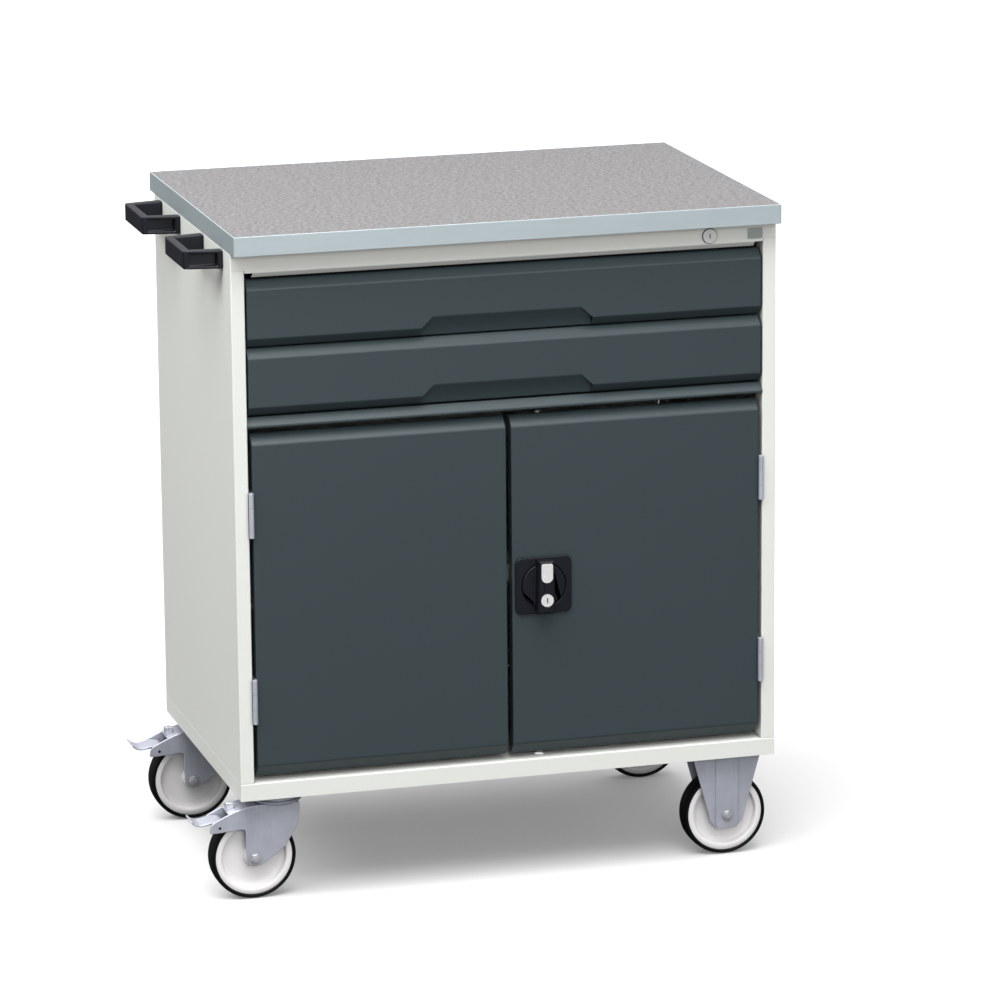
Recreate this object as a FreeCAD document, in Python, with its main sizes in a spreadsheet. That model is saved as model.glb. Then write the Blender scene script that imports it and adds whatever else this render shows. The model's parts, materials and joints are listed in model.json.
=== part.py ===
import FreeCAD, Part
import Sketcher
import math
import os

# Mobile workbench cabinet: a folded steel cabinet with two drawers and a two-door cupboard,
# a lino-covered worktop, two push handles, two braked swivel casters and two fixed casters.
# Frame: X to the right, Y to the back, Z up, millimetres. The origin is on the floor, under
# the middle of the whole object. The drawers and doors face -Y.

doc = FreeCAD.newDocument("MobileCabinet")
sheet = doc.addObject("Spreadsheet::Sheet", "Sizes")


class Size:
    """A length in millimetres together with the spreadsheet formula that gives it."""

    def __init__(self, value, text):
        self.value = float(value)
        self.text = text

    def __add__(self, other):
        other = as_size(other)
        return Size(self.value + other.value, "(%s + %s)" % (self.text, other.text))

    def __sub__(self, other):
        other = as_size(other)
        return Size(self.value - other.value, "(%s - %s)" % (self.text, other.text))

    def __mul__(self, factor):
        return Size(self.value * factor, "(%s * %s)" % (self.text, factor))

    def __truediv__(self, divisor):
        return Size(self.value / divisor, "(%s / %s)" % (self.text, divisor))

    def __neg__(self):
        return Size(-self.value, "(0 - %s)" % self.text)

    def __radd__(self, other):
        return as_size(other) + self

    def __rsub__(self, other):
        return as_size(other) - self


def as_size(item):
    return item if isinstance(item, Size) else Size(item, repr(item))


class Drive:
    """The driving dimensions, one spreadsheet cell each, read as drive.name."""

    def __init__(self):
        self.row = 0

    def section(self, title, **values):
        self.row += 1
        sheet.set("A%d" % self.row, title)
        for name, value in values.items():
            self.row += 1
            sheet.set("A%d" % self.row, name)
            sheet.set("B%d" % self.row, str(value))
            sheet.setAlias("B%d" % self.row, name)
            setattr(self, name, Size(value, "Sizes." + name))


drive = Drive()
drive.section(
    "Allowances for cutting and joining shapes",
    spare=1,
    join=1,
)
drive.section(
    "Overall",
    worktop_width=800,
    worktop_depth=550,
    overall_height=976,
    sheet_steel=1.2,
    front_overhang=25,
    back_overhang=30,
)
drive.section(
    "Worktop",
    worktop_thickness=28,
    edging_wall=2,
    edging_corner=2.5,
    lino_thickness=2.5,
    lino_drop=0.4,
)
drive.section(
    "Cabinet shell",
    post_width=20,
    post_return=30,
    cap_height=24.5,
    fascia_lip=4,
    fascia_bevel_drop=7.5,
    fascia_bevel_depth=8,
    fascia_return=8,
    fascia_end_notch=12,
    base_height=25.5,
    base_proud=0.5,
    runner_width=96,
    plate_recess=5,
    runner_steel=2,
)
drive.section(
    "Divider rail",
    divider_height=14,
    divider_slope_drop=10.5,
    divider_slope_depth=10.5,
    divider_depth=42,
    divider_nose=1.1,
)
drive.section(
    "Drawers",
    drawer_face_height=96.5,
    drawer_gap=1.5,
    drawer_top_gap=3.5,
    drawer_bottom_gap=2,
    drawer_side_gap=2.5,
    drawer_bevel=13,
    drawer_fold=24,
    drawer_box_height=72,
    drawer_box_rise=12,
    drawer_box_depth=435,
    drawer_box_steel=1,
    grip_top_width=218,
    grip_bottom_width=252,
    grip_height=29,
    grip_depth=9,
    grip_lip=2,
    lock_slot_width=46,
    lock_slot_setback=3,
    lock_slot_play=1.5,
)
drive.section(
    "Drawer slides",
    slide_length=435,
    slide_height=45,
    slide_width=12.5,
    slide_flange=8,
    slide_play=1,
    slide_steel=1.5,
    slide_step=2,
    slide_setback=27,
    slide_rise=24,
)
drive.section(
    "Doors",
    door_side_gap=5.5,
    door_middle_gap=7.7,
    door_base_gap=6.5,
    door_top_gap=10,
    door_top_bevel=14,
    door_foot_bevel_rise=18,
    door_foot_bevel_depth=16,
    door_fold=20,
    liner_steel=1,
    liner_inset=3,
)
drive.section(
    "Hinges",
    hinge_inset=114.5,
    hinge_length=65,
    knuckle_radius=3.5,
    hinge_pin_radius=2,
    hinge_steel=1.5,
    hinge_leaf=22,
    knuckle_gap=0.4,
    running_gap=0.05,
)
drive.section(
    "Door handle and locking rods",
    handle_from_edge=45.5,
    handle_above_middle=2,
    housing_width=83,
    housing_corner=9,
    housing_thickness=5,
    recess_radius=33,
    recess_depth=3.5,
    grip_disc_radius=32,
    grip_bar_width=27,
    grip_bar_taper=2.5,
    grip_bar_length=78,
    grip_bar_height=17,
    grip_bar_round=4,
    part_gap=0.3,
    spindle_radius=6,
    cam_radius=15,
    cam_thickness=6,
    insert_width=17,
    insert_length=28,
    insert_rise=21.5,
    insert_thickness=1,
    insert_head_corner=3,
    insert_foot_corner=8,
    key_radius=9.2,
    key_drop=18.5,
    key_depth=12,
    key_head=1,
    keyway_width=1.6,
    keyway_length=8,
    keyway_depth=6,
    spindle_hole_gap=2,
    rod_radius=4,
    rod_end_gap=4,
    rod_reach=2,
    rod_setback=0.5,
    rod_hole_gap=3,
    guide_from_end=44,
    guide_height=16,
    guide_wall=2,
)
drive.section(
    "Fascia lock and nameplate",
    lock_from_right=100,
    lock_drop=16.2,
    lock_head_radius=10.25,
    lock_head=2,
    lock_body_radius=9,
    lock_body_length=9,
    lock_plug_radius=6,
    lock_cam_length=30,
    lock_cam_width=10,
    lock_cam_thickness=3,
    lock_keyway_width=1.4,
    lock_keyway_length=6.4,
    lock_keyway_depth=5,
    nameplate_width=22,
    nameplate_height=15,
    nameplate_thickness=0.8,
    nameplate_from_right=21,
    nameplate_corner=2,
)
drive.section(
    "Shelf",
    shelf_flange=25,
    shelf_side_gap=2,
    shelf_front_gap=42,
    shelf_depth=430,
    clip_width=14,
    clip_height=4,
    clip_seat=7,
    clip_door_gap=2,
)
drive.section(
    "Push handles",
    push_front=137,
    push_rear=410,
    push_drop=2,
    push_height=26,
    push_reach=55,
    push_foot_span=140,
    push_bar_span=118,
    push_bar=12,
    push_arm_foot=18,
    push_pocket_rim=4,
    push_pocket_side_rim=8,
    push_pocket_floor=1,
)
drive.section(
    "Casters",
    wheel_diameter=125,
    hood_gap=17,
    head_height=5,
    race_height=13,
    tyre_height=6,
    tyre_bulge=2,
    tyre_crown=1,
    tyre_shoulder=5,
    rim_half_width=14,
    rim_ring=9.5,
    rim_ring_slope=3,
    disc_half_width=7,
    hub_radius=14,
    hub_slope=4,
    hub_half_width=19,
    axle_radius=6,
    axle_head=4,
    axle_head_radius=9,
    axle_head_chamfer=1,
    axle_head_face=6,
    caster_plate_length=105,
    caster_plate_width=85,
    caster_plate_thickness=3,
    caster_steel=3,
    fork_half_gap=20,
    caster_from_front=69,
    caster_from_back=76,
    swivel_from_left=61,
    fixed_from_right=66,
    swivel_trail=37,
    head_radius=37,
    race_radius=34,
    pedal_inset=11.5,
    pedal_length=42,
    pedal_pivot_drop=30,
    pedal_pin_radius=3,
    pedal_side_gap=2,
    pedal_heel=8,
    pedal_heel_rise=2,
    pedal_boss=5,
    pedal_lip=9,
    pedal_sheet=4,
    bolt_radius=4,
    bolt_hole_gap=0.3,
    bolt_head_radius=6.5,
    bolt_head=5,
    bolt_spacing_length=80,
    bolt_spacing_width=60,
    cheek_front=29,
    cheek_drop=20,
    cheek_knee=19,
    cheek_knee_drop=46,
    cheek_waist=7,
    cheek_boss_rise=14,
    cheek_foot_half_width=6,
    cheek_foot_drop=11,
    cheek_rear=13,
    cheek_notch=28,
    cheek_notch_rise=3,
    cheek_rear_drop=2,
    arm_drop=38,
    arm_inset=6,
    arm_rise=3.5,
    arm_nose=15,
    arm_nose_drop=38,
    arm_lip=13,
    arm_lip_drop=27,
    arm_shoulder=7,
    arm_shoulder_drop=20.5,
    hood_tip=14,
    hood_tip_drop=11.4,
    hood_bend=27,
    hood_bend_drop=5.7,
    hood_end=58,
    fixed_cheek_shoulder=6,
    fixed_foot_half_width=15,
    fixed_foot_drop=20,
    fixed_waist_half_width=24,
    fixed_waist_drop=10,
    fork_rib=2,
    fork_rib_half_width=17,
    king_pin_head=10,
    king_pin_head_height=6,
)
doc.recompute()

# Places that several pieces share.
wheel_radius = drive.wheel_diameter / 2
pedal_pivot_trail = drive.swivel_trail + wheel_radius - drive.pedal_inset
pedal_overhang = pedal_pivot_trail + drive.pedal_length - drive.swivel_from_left
left = -(drive.worktop_width - pedal_overhang) / 2
right = (drive.worktop_width + pedal_overhang) / 2
front = -drive.worktop_depth / 2
back = drive.worktop_depth / 2
face = front + drive.front_overhang
rear = back - drive.back_overhang
top = drive.overall_height
body_top = top - drive.worktop_thickness
cap_bottom = body_top - drive.cap_height
axle_z = wheel_radius
hood_top = drive.wheel_diameter + drive.hood_gap
pedal_z = hood_top - drive.pedal_pivot_drop
caster_top = hood_top + drive.head_height + drive.race_height
plate_bottom = caster_top - drive.caster_plate_thickness
base_bottom = caster_top - drive.plate_recess
base_top = base_bottom + drive.base_height
inner_left = left + drive.post_width
inner_right = right - drive.post_width
middle = (left + right) / 2

fascia_bottom = cap_bottom - drive.fascia_lip - drive.fascia_bevel_drop
drawer_top = fascia_bottom - drive.drawer_top_gap
drawer_pitch = drive.drawer_face_height + drive.drawer_gap
drawer_bottoms = [
    drawer_top - drive.drawer_face_height,
    drawer_top - drive.drawer_face_height - drawer_pitch,
]
divider_top = drawer_bottoms[1] - drive.drawer_bottom_gap
divider_bottom = divider_top - drive.divider_height
door_bottom = base_top + drive.door_base_gap
door_top = divider_bottom - drive.door_top_gap
door_height = door_top - door_bottom
inner_width = inner_right - inner_left
door_width = (inner_width - drive.door_side_gap * 2 - drive.door_middle_gap) / 2
door_lefts = {
    "left": inner_left + drive.door_side_gap,
    "right": inner_right - drive.door_side_gap - door_width,
}
handle_x = door_lefts["right"] + drive.handle_from_edge
handle_z = door_bottom + door_height / 2 + drive.handle_above_middle
rod_y = face + drive.door_fold + drive.liner_steel + drive.rod_radius + drive.rod_setback
rod_hole_radius = drive.rod_radius + drive.rod_hole_gap
zero = as_size(0)
# The inner corner of a 45 degree bend lies this share of the sheet's thickness along the sheet.
bend_share = round(math.tan(math.radians(45) / 2), 3)
nodes = []


# --- helpers ---------------------------------------------------------------------------------

def bind(item, prop, size):
    item.setExpression(prop, as_size(size).text)


def place(item, x=zero, y=zero, z=zero):
    for axis, size in zip("xyz", (x, y, z)):
        bind(item, "Placement.Base." + axis, size)


def node(item, label):
    item.Label = label
    nodes.append(item)
    return item


def box(name, low, high):
    item = doc.addObject("Part::Box", name)
    for prop, start, end in zip(("Length", "Width", "Height"), low, high):
        bind(item, prop, as_size(end) - start)
    place(item, *low)
    return item


turns = {
    "x": FreeCAD.Rotation(FreeCAD.Vector(0, 1, 0), 90),
    "y": FreeCAD.Rotation(FreeCAD.Vector(1, 0, 0), -90),
    "z": FreeCAD.Rotation(),
}


def cylinder(name, axis, radius, length, start):
    """A cylinder from its start point along +axis."""
    item = doc.addObject("Part::Cylinder", name)
    item.Placement = FreeCAD.Placement(FreeCAD.Vector(), turns[axis])
    bind(item, "Radius", radius)
    bind(item, "Height", length)
    place(item, *start)
    return item


def cut(name, base, *tools):
    for number, tool in enumerate(tools):
        item = doc.addObject("Part::Cut", "%s_cut_%d" % (name, number))
        item.Base = base
        item.Tool = tool
        base = item
    return base


def fuse(name, *shapes):
    item = doc.addObject("Part::MultiFuse", name + "_fused")
    item.Shapes = list(shapes)
    item.Refine = True
    return item


def group(name, shapes):
    item = doc.addObject("Part::Compound", name + "_group")
    item.Links = list(shapes)
    return item


def new_body(name, x=zero, y=zero, z=zero):
    body = doc.addObject("PartDesign::Body", name)
    place(body, x, y, z)
    return body


def new_sketch(body, plane, offset=zero):
    """An empty sketch on one of the body's own origin planes, moved along its normal."""
    sketch = body.newObject("Sketcher::SketchObject", body.Name + "_sketch")
    plane_feature = [item for item in body.Origin.OriginFeatures if item.Role == plane + "_Plane"][0]
    sketch.AttachmentSupport = [(plane_feature, "")]
    sketch.MapMode = "FlatFace"
    bind(sketch, "AttachmentOffset.Base.z", offset)
    return sketch


def pin_point(sketch, line, vertex, x, y):
    """Holds one vertex of a sketch at the two given sizes."""
    for kind, size, axis in (("DistanceX", x, -2), ("DistanceY", y, -1)):
        size = as_size(size)
        if size.value == 0:
            sketch.addConstraint(Sketcher.Constraint("PointOnObject", line, vertex, axis))
        else:
            index = sketch.addConstraint(
                Sketcher.Constraint(kind, -1, 1, line, vertex, size.value))
            sketch.setExpression("Constraints[%d]" % index, size.text)


def outline(sketch, corners):
    """A closed polygon whose corners are pairs of sizes."""
    first = sketch.GeometryCount
    count = len(corners)
    spots = [FreeCAD.Vector(as_size(x).value, as_size(y).value, 0) for x, y in corners]
    for index in range(count):
        sketch.addGeometry(Part.LineSegment(spots[index], spots[(index + 1) % count]), False)
    for index in range(count):
        following = first + (index + 1) % count
        sketch.addConstraint(Sketcher.Constraint("Coincident", first + index, 2, following, 1))
    for index, (x, y) in enumerate(corners):
        pin_point(sketch, first + index, 1, x, y)


def rectangle(sketch, x_low, y_low, x_high, y_high):
    outline(sketch, [(x_low, y_low), (x_high, y_low), (x_high, y_high), (x_low, y_high)])


def circle(sketch, x, y, radius):
    radius = as_size(radius)
    index = sketch.addGeometry(
        Part.Circle(FreeCAD.Vector(as_size(x).value, as_size(y).value, 0),
                    FreeCAD.Vector(0, 0, 1), radius.value), False)
    pin_point(sketch, index, 3, x, y)
    constraint = sketch.addConstraint(Sketcher.Constraint("Radius", index, radius.value))
    sketch.setExpression("Constraints[%d]" % constraint, radius.text)


def pad(body, sketch, length):
    """Thickens a sketch towards +X, +Y or +Z."""
    item = body.newObject("PartDesign::Pad", body.Name + "_pad")
    item.Profile = sketch
    item.Reversed = sketch.AttachmentSupport[0][0].Role == "XZ_Plane"
    bind(item, "Length", length)
    return item


def pocket(body, sketch, depth):
    """Cuts a sketch towards +X, +Y or +Z."""
    item = body.newObject("PartDesign::Pocket", body.Name + "_pocket")
    item.Profile = sketch
    item.Reversed = sketch.AttachmentSupport[0][0].Role != "XZ_Plane"
    bind(item, "Length", depth)
    return item


def revolve(body, sketch, axis):
    item = body.newObject("PartDesign::Revolution", body.Name + "_turned")
    item.Profile = sketch
    item.ReferenceAxis = (sketch, [axis])
    item.Angle = 360
    return item


def anywhere(spot):
    return True


def on_front(spot):
    """True for a point in the body's own XZ plane."""
    return round(spot.y, 6) == 0


def round_edges(body, feature, radius, axis="", wanted=anywhere):
    """Fillets a feature's straight edges along an axis, or along any if none is given."""
    doc.recompute()
    names = []
    for number, edge in enumerate(feature.Shape.Edges, start=1):
        if edge.Curve.TypeId == "Part::GeomLine":
            start, end = (vertex.Point for vertex in edge.Vertexes)
            sideways = [way for way in "xyz" if axis and way != axis
                        and round(getattr(end - start, way), 6)]
            if not sideways and wanted((start + end) / 2):
                names.append("Edge%d" % number)
    item = body.newObject("PartDesign::Fillet", body.Name + "_fillet")
    item.Base = (feature, names)
    bind(item, "Radius", radius)
    return item


def turned(name, profile, x, y, z):
    """A piece turned about the Y direction: the profile is pairs of (along Y, radius)."""
    body = new_body(name, x, y, z)
    sketch = new_sketch(body, "YZ")
    outline(sketch, profile)
    revolve(body, sketch, "H_Axis")
    return body


def mirror_points(points, width):
    return [(width - x, y) for x, y in points]


# --- cabinet shell ---------------------------------------------------------------------------

def make_side_panel(name, mirrored):
    """A folded side: outer skin with a front post and a rear post, both returned inwards."""
    steel = drive.sheet_steel
    depth = rear - face
    width = drive.post_width
    returned = drive.post_return
    points = [
        (zero, zero),
        (width, zero),
        (width, returned),
        (width - steel, returned),
        (width - steel, steel),
        (steel, steel),
        (steel, depth - steel),
        (width - steel, depth - steel),
        (width - steel, depth - returned),
        (width, depth - returned),
        (width, depth),
        (zero, depth),
    ]
    if mirrored:
        points = mirror_points(points, width)
    body = new_body(name, inner_right if mirrored else left, face, base_top)
    sketch = new_sketch(body, "XY")
    outline(sketch, points)
    pad(body, sketch, cap_bottom - base_top)
    node(body, name)


def make_back_panel():
    steel = drive.sheet_steel
    panel = box("back_sheet", (inner_left, rear - steel, base_top), (inner_right, rear, cap_bottom))
    node(panel, "back_panel")


def make_base_pan():
    """The floor pan: a tray turned upside down, with a caster channel welded under each end."""
    steel = drive.sheet_steel
    wide = drive.worktop_width
    deep = rear - face + drive.base_proud
    body = new_body("base_pan", left, face - drive.base_proud, base_bottom)
    tray = new_sketch(body, "XY")
    rectangle(tray, zero, zero, wide, deep)
    pad(body, tray, drive.base_height)
    hollow = new_sketch(body, "XY")
    rectangle(hollow, steel, steel, wide - steel, deep - steel)
    pocket(body, hollow, drive.base_height - steel)
    strong = drive.runner_steel
    low = drive.plate_recess
    high = drive.base_height - steel
    for start in (steel, wide - steel - drive.runner_width):
        channel = new_sketch(body, "XZ", -steel)
        outline(channel, [
            (start, high),
            (start, low),
            (start + drive.runner_width, low),
            (start + drive.runner_width, high),
            (start + drive.runner_width - strong, high),
            (start + drive.runner_width - strong, low + strong),
            (start + strong, low + strong),
            (start + strong, high),
        ])
        pad(body, channel, deep - steel * 2)
    rod_hole = new_sketch(body, "XY", high - drive.spare)
    circle(rod_hole, handle_x - left, rod_y - face + drive.base_proud, rod_hole_radius)
    pocket(body, rod_hole, steel + drive.spare * 2)
    node(body, "base_pan")


def make_top_frame():
    """The cap under the worktop: a shallow tray turned upside down, with the front fascia lip."""
    steel = drive.sheet_steel
    wide = drive.worktop_width
    deep = rear - face
    body = new_body("top_frame", left, face, cap_bottom)
    cap = new_sketch(body, "XY")
    rectangle(cap, zero, zero, wide, deep)
    pad(body, cap, drive.cap_height)
    hollow = new_sketch(body, "XY")
    rectangle(hollow, steel, steel, wide - steel, deep - steel)
    pocket(body, hollow, drive.cap_height - steel)
    lip = new_sketch(body, "YZ", drive.post_width)
    rectangle(lip, zero, -drive.fascia_lip, steel, drive.join)
    pad(body, lip, inner_width)
    bevel = new_sketch(body, "YZ", drive.post_width + drive.fascia_end_notch)
    drop = -drive.fascia_lip - drive.fascia_bevel_drop
    outline(bevel, [
        (zero, -drive.fascia_lip),
        (drive.fascia_bevel_depth, drop),
        (drive.fascia_bevel_depth + drive.fascia_return, drop),
        (drive.fascia_bevel_depth + drive.fascia_return, drop + steel),
        (drive.fascia_bevel_depth + steel * bend_share, drop + steel),
        (steel, -drive.fascia_lip + steel * bend_share),
    ])
    pad(body, bevel, inner_width - drive.fascia_end_notch * 2)
    lock_hole = new_sketch(body, "XZ")
    circle(lock_hole, wide - drive.lock_from_right, drive.cap_height - drive.lock_drop,
           drive.lock_body_radius + drive.part_gap)
    pocket(body, lock_hole, steel + drive.spare * 2)
    node(body, "top_frame")


def make_divider_rail():
    """The rail between the lower drawer and the doors, with a sloped top and a rounded nose."""
    steel = drive.sheet_steel
    high = drive.divider_height
    nose_top = high - drive.divider_slope_drop
    slope = drive.divider_slope_depth
    body = new_body("divider_rail", inner_left, face, divider_bottom)
    sketch = new_sketch(body, "YZ")
    outline(sketch, [
        (drive.divider_depth, zero),
        (zero, zero),
        (zero, nose_top),
        (slope, high),
        (drive.divider_depth, high),
        (drive.divider_depth, high - steel),
        (slope + steel * bend_share, high - steel),
        (steel, nose_top - steel * bend_share),
        (steel, steel),
        (drive.divider_depth, steel),
    ])
    rail = pad(body, sketch, inner_width)
    round_edges(body, rail, drive.divider_nose, "x", on_front)
    hole = new_sketch(body, "XY", -drive.spare)
    circle(hole, handle_x - inner_left, rod_y - face, rod_hole_radius)
    pocket(body, hole, steel + drive.spare * 2)
    node(body, "divider_rail")


def make_shelf():
    """The cupboard shelf: a sheet with flanges all round, on four clips held by the posts."""
    steel = drive.sheet_steel
    wide = inner_width - drive.shelf_side_gap * 2
    shelf_z = (door_bottom + door_top) / 2
    shelf_y = face + drive.shelf_front_gap
    body = new_body("shelf", inner_left + drive.shelf_side_gap, shelf_y, shelf_z)
    tray = new_sketch(body, "XY")
    rectangle(tray, zero, zero, wide, drive.shelf_depth)
    pad(body, tray, drive.shelf_flange)
    hollow = new_sketch(body, "XY")
    rectangle(hollow, steel, steel, wide - steel, drive.shelf_depth - steel)
    pocket(body, hollow, drive.shelf_flange - steel)
    node(body, "shelf")
    seat = drive.clip_seat
    wide = drive.clip_width
    door_back = face + drive.door_fold + drive.liner_steel
    spans = [
        (door_back + drive.clip_door_gap, shelf_y + seat * 2),
        (shelf_y + drive.shelf_depth - seat * 2, rear - drive.post_return + seat),
    ]
    clips = []
    for x in (inner_left, inner_right - wide):
        for start_y, end_y in spans:
            clips.append(box("clip_%d" % len(clips), (x, start_y, shelf_z - drive.clip_height),
                             (x + wide, end_y, shelf_z)))
    node(group("shelf_clips", clips), "shelf_clips")


def make_worktop():
    """A board in a folded steel edging, covered by a lino sheet that lies just under the rim."""
    wall = drive.edging_wall
    wide = drive.worktop_width
    deep = drive.worktop_depth
    body = new_body("worktop_edging", left, front, body_top)
    block = new_sketch(body, "XY")
    rectangle(block, zero, zero, wide, deep)
    outer = pad(body, block, drive.worktop_thickness)
    round_edges(body, outer, drive.edging_corner, "z")
    hollow = new_sketch(body, "XY", -drive.spare)
    rectangle(hollow, wall, wall, wide - wall, deep - wall)
    pocket(body, hollow, drive.worktop_thickness + drive.spare * 2)
    node(body, "worktop_edging")
    lino_top = top - drive.lino_drop
    lino_bottom = lino_top - drive.lino_thickness
    low = (left + wall, front + wall)
    high = (right - wall, back - wall)
    node(box("board", (*low, body_top), (*high, lino_bottom)), "worktop_core")
    node(box("lino", (*low, lino_bottom), (*high, lino_top)), "lino_sheet")


# --- drawers ---------------------------------------------------------------------------------

def folded_front(name, x, y, z, wide, high, fold, foot_rise, foot_depth, head):
    """A folded sheet front: flat face, sloped foot and head, returned flanges and closed ends."""
    steel = drive.sheet_steel
    body = new_body(name, x, y, z)
    skin = new_sketch(body, "YZ")
    outline(skin, [
        (fold, zero),
        (foot_depth, zero),
        (zero, foot_rise),
        (zero, high - head),
        (head, high),
        (fold, high),
        (fold, high - steel),
        (head + steel * bend_share, high - steel),
        (steel, high - head - steel * bend_share),
        (steel, foot_rise + steel * bend_share),
        (foot_depth + steel * bend_share, steel),
        (fold, steel),
    ])
    pad(body, skin, wide)
    for start in (zero, wide - steel):
        end = new_sketch(body, "YZ", start)
        outline(end, [
            (fold, zero),
            (foot_depth, zero),
            (zero, foot_rise),
            (zero, high - head),
            (head, high),
            (fold, high),
        ])
        pad(body, end, steel)
    return body


def make_drawer_front(number, bottom):
    """A drawer front with a scooped finger recess in its lower edge and a slot for the lock."""
    steel = drive.sheet_steel
    wide = inner_width - drive.drawer_side_gap * 2
    name = "drawer_%d_front" % number
    body = folded_front(name, inner_left + drive.drawer_side_gap, face, bottom,
                        wide, drive.drawer_face_height, drive.drawer_fold,
                        drive.drawer_bevel, drive.drawer_bevel, drive.drawer_bevel)
    centre = wide / 2
    half_top = drive.grip_top_width / 2
    half_low = drive.grip_bottom_width / 2
    bevel = drive.drawer_bevel
    spare = drive.spare
    lip = drive.grip_lip
    mouth = new_sketch(body, "XZ", spare)
    outline(mouth, [
        (centre - half_low, -spare),
        (centre - half_low, bevel),
        (centre - half_top, drive.grip_height),
        (centre + half_top, drive.grip_height),
        (centre + half_low, bevel),
        (centre + half_low, -spare),
    ])
    pocket(body, mouth, bevel + spare * 1.5)
    scoop = new_sketch(body, "YZ", centre - half_low)
    outline(scoop, [
        (zero, drive.grip_height),
        (drive.grip_depth, bevel + lip / 2),
        (bevel - steel / 2, zero),
        (bevel + steel, zero),
        (drive.grip_depth + steel, bevel + lip),
        (steel, drive.grip_height + lip / 2),
        (zero, drive.grip_height + lip / 2),
    ])
    pad(body, scoop, drive.grip_bottom_width)
    if number == 1:
        slot = new_sketch(body, "XY", drive.drawer_face_height - steel - spare)
        lock_x = right - drive.lock_from_right - inner_left - drive.drawer_side_gap
        half_slot = drive.lock_slot_width / 2
        slot_y = bevel + drive.lock_slot_setback
        slot_end = slot_y + drive.lock_cam_thickness + drive.lock_slot_play * 2
        rectangle(slot, lock_x - half_slot, slot_y, lock_x + half_slot, slot_end)
        pocket(body, slot, steel + spare * 2)
    node(body, name)


def slide_section(inset, steel, mirrored):
    """One C-shaped slide member, nested inside the next larger one by its inset."""
    width = drive.slide_width
    high = drive.slide_height
    low_z = inset
    high_z = high - inset
    web = inset
    flange_end = drive.slide_flange + inset
    points = [
        (web, low_z),
        (flange_end, low_z),
        (flange_end, low_z + steel),
        (web + steel, low_z + steel),
        (web + steel, high_z - steel),
        (flange_end, high_z - steel),
        (flange_end, high_z),
        (web, high_z),
    ]
    return mirror_points(points, width) if mirrored else points


def runner_section(inset, steel, mirrored):
    """The inner slide member: a C that opens outwards and is welded to the drawer's side."""
    width = drive.slide_width
    low_z = inset * 2
    high_z = drive.slide_height - inset * 2
    inner = inset + steel + drive.slide_play
    points = [
        (width, low_z),
        (inner, low_z),
        (inner, low_z + steel),
        (width - steel, low_z + steel),
        (width - steel, high_z - steel),
        (inner, high_z - steel),
        (inner, high_z),
        (width, high_z),
    ]
    return mirror_points(points, width) if mirrored else points


def make_slides(number, bottom):
    """The fixed and the middle members of a drawer's two telescopic slides."""
    steel = drive.slide_steel
    start_y = face + drive.slide_setback
    for kind, inset in (("outer", zero), ("mid", drive.slide_step)):
        members = []
        for side, x in (("left", inner_left), ("right", inner_right - drive.slide_width)):
            body = new_body("drawer_%d_%s_slide_%s" % (number, kind, side), x, start_y,
                            bottom + drive.slide_rise)
            sketch = new_sketch(body, "XZ")
            outline(sketch, slide_section(inset, steel, side == "right"))
            pad(body, sketch, drive.slide_length)
            members.append(body)
        name = "drawer_%d_%s_slides" % (number, kind)
        node(group(name, members), name)


def make_drawer_box(number, bottom):
    """The drawer's open box with the two inner slide members welded to its sides."""
    steel = drive.drawer_box_steel
    clear = drive.slide_width
    wide = inner_width - clear * 2
    body = new_body("drawer_%d_box" % number, inner_left + clear, face + drive.drawer_fold,
                    bottom + drive.drawer_box_rise)
    tub = new_sketch(body, "XY")
    rectangle(tub, zero, zero, wide, drive.drawer_box_depth)
    pad(body, tub, drive.drawer_box_height)
    hollow = new_sketch(body, "XY", steel)
    rectangle(hollow, steel, steel, wide - steel, drive.drawer_box_depth - steel)
    pocket(body, hollow, drive.drawer_box_height)
    start_y = drive.slide_setback - drive.drawer_fold
    for mirrored, shift in ((False, -clear), (True, wide)):
        rail = new_sketch(body, "XZ", -start_y)
        lift = drive.slide_rise - drive.drawer_box_rise
        points = runner_section(drive.slide_step, drive.slide_steel, mirrored)
        outline(rail, [(x + shift, z + lift) for x, z in points])
        pad(body, rail, drive.drawer_box_depth - start_y)
    node(body, "drawer_%d_box" % number)


# --- doors and hinges ------------------------------------------------------------------------

def make_door(side):
    """A door skin, and the liner that closes its back."""
    body = folded_front("door_%s_panel" % side, door_lefts[side], face, door_bottom,
                        door_width, door_height, drive.door_fold,
                        drive.door_foot_bevel_rise, drive.door_foot_bevel_depth,
                        drive.door_top_bevel)
    spindle_hole = drive.spindle_radius + drive.spindle_hole_gap
    inset = drive.liner_inset
    liner_low = (door_lefts[side] + inset, face + drive.door_fold, door_bottom + inset)
    liner_high = (door_lefts[side] + door_width - inset,
                  face + drive.door_fold + drive.liner_steel, door_top - inset)
    liner = box("door_%s_liner_sheet" % side, liner_low, liner_high)
    if side == "right":
        spare = drive.spare
        hole = new_sketch(body, "XZ", spare)
        circle(hole, drive.handle_from_edge, handle_z - door_bottom, spindle_hole)
        pocket(body, hole, drive.sheet_steel + spare * 2)
        drill = cylinder("liner_drill", "y", spindle_hole, drive.liner_steel + spare * 2,
                         (handle_x, face + drive.door_fold - spare, handle_z))
        liner = cut("door_right_liner", liner, drill)
    node(body, "door_%s_panel" % side)
    node(liner, "door_%s_liner" % side)


hinge_y = face - drive.knuckle_radius
hinge_centres = [door_bottom + drive.hinge_inset, door_top - drive.hinge_inset]
hinge_xs = {
    "left": inner_left + drive.door_side_gap / 2,
    "right": inner_right - drive.door_side_gap / 2,
}


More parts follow.
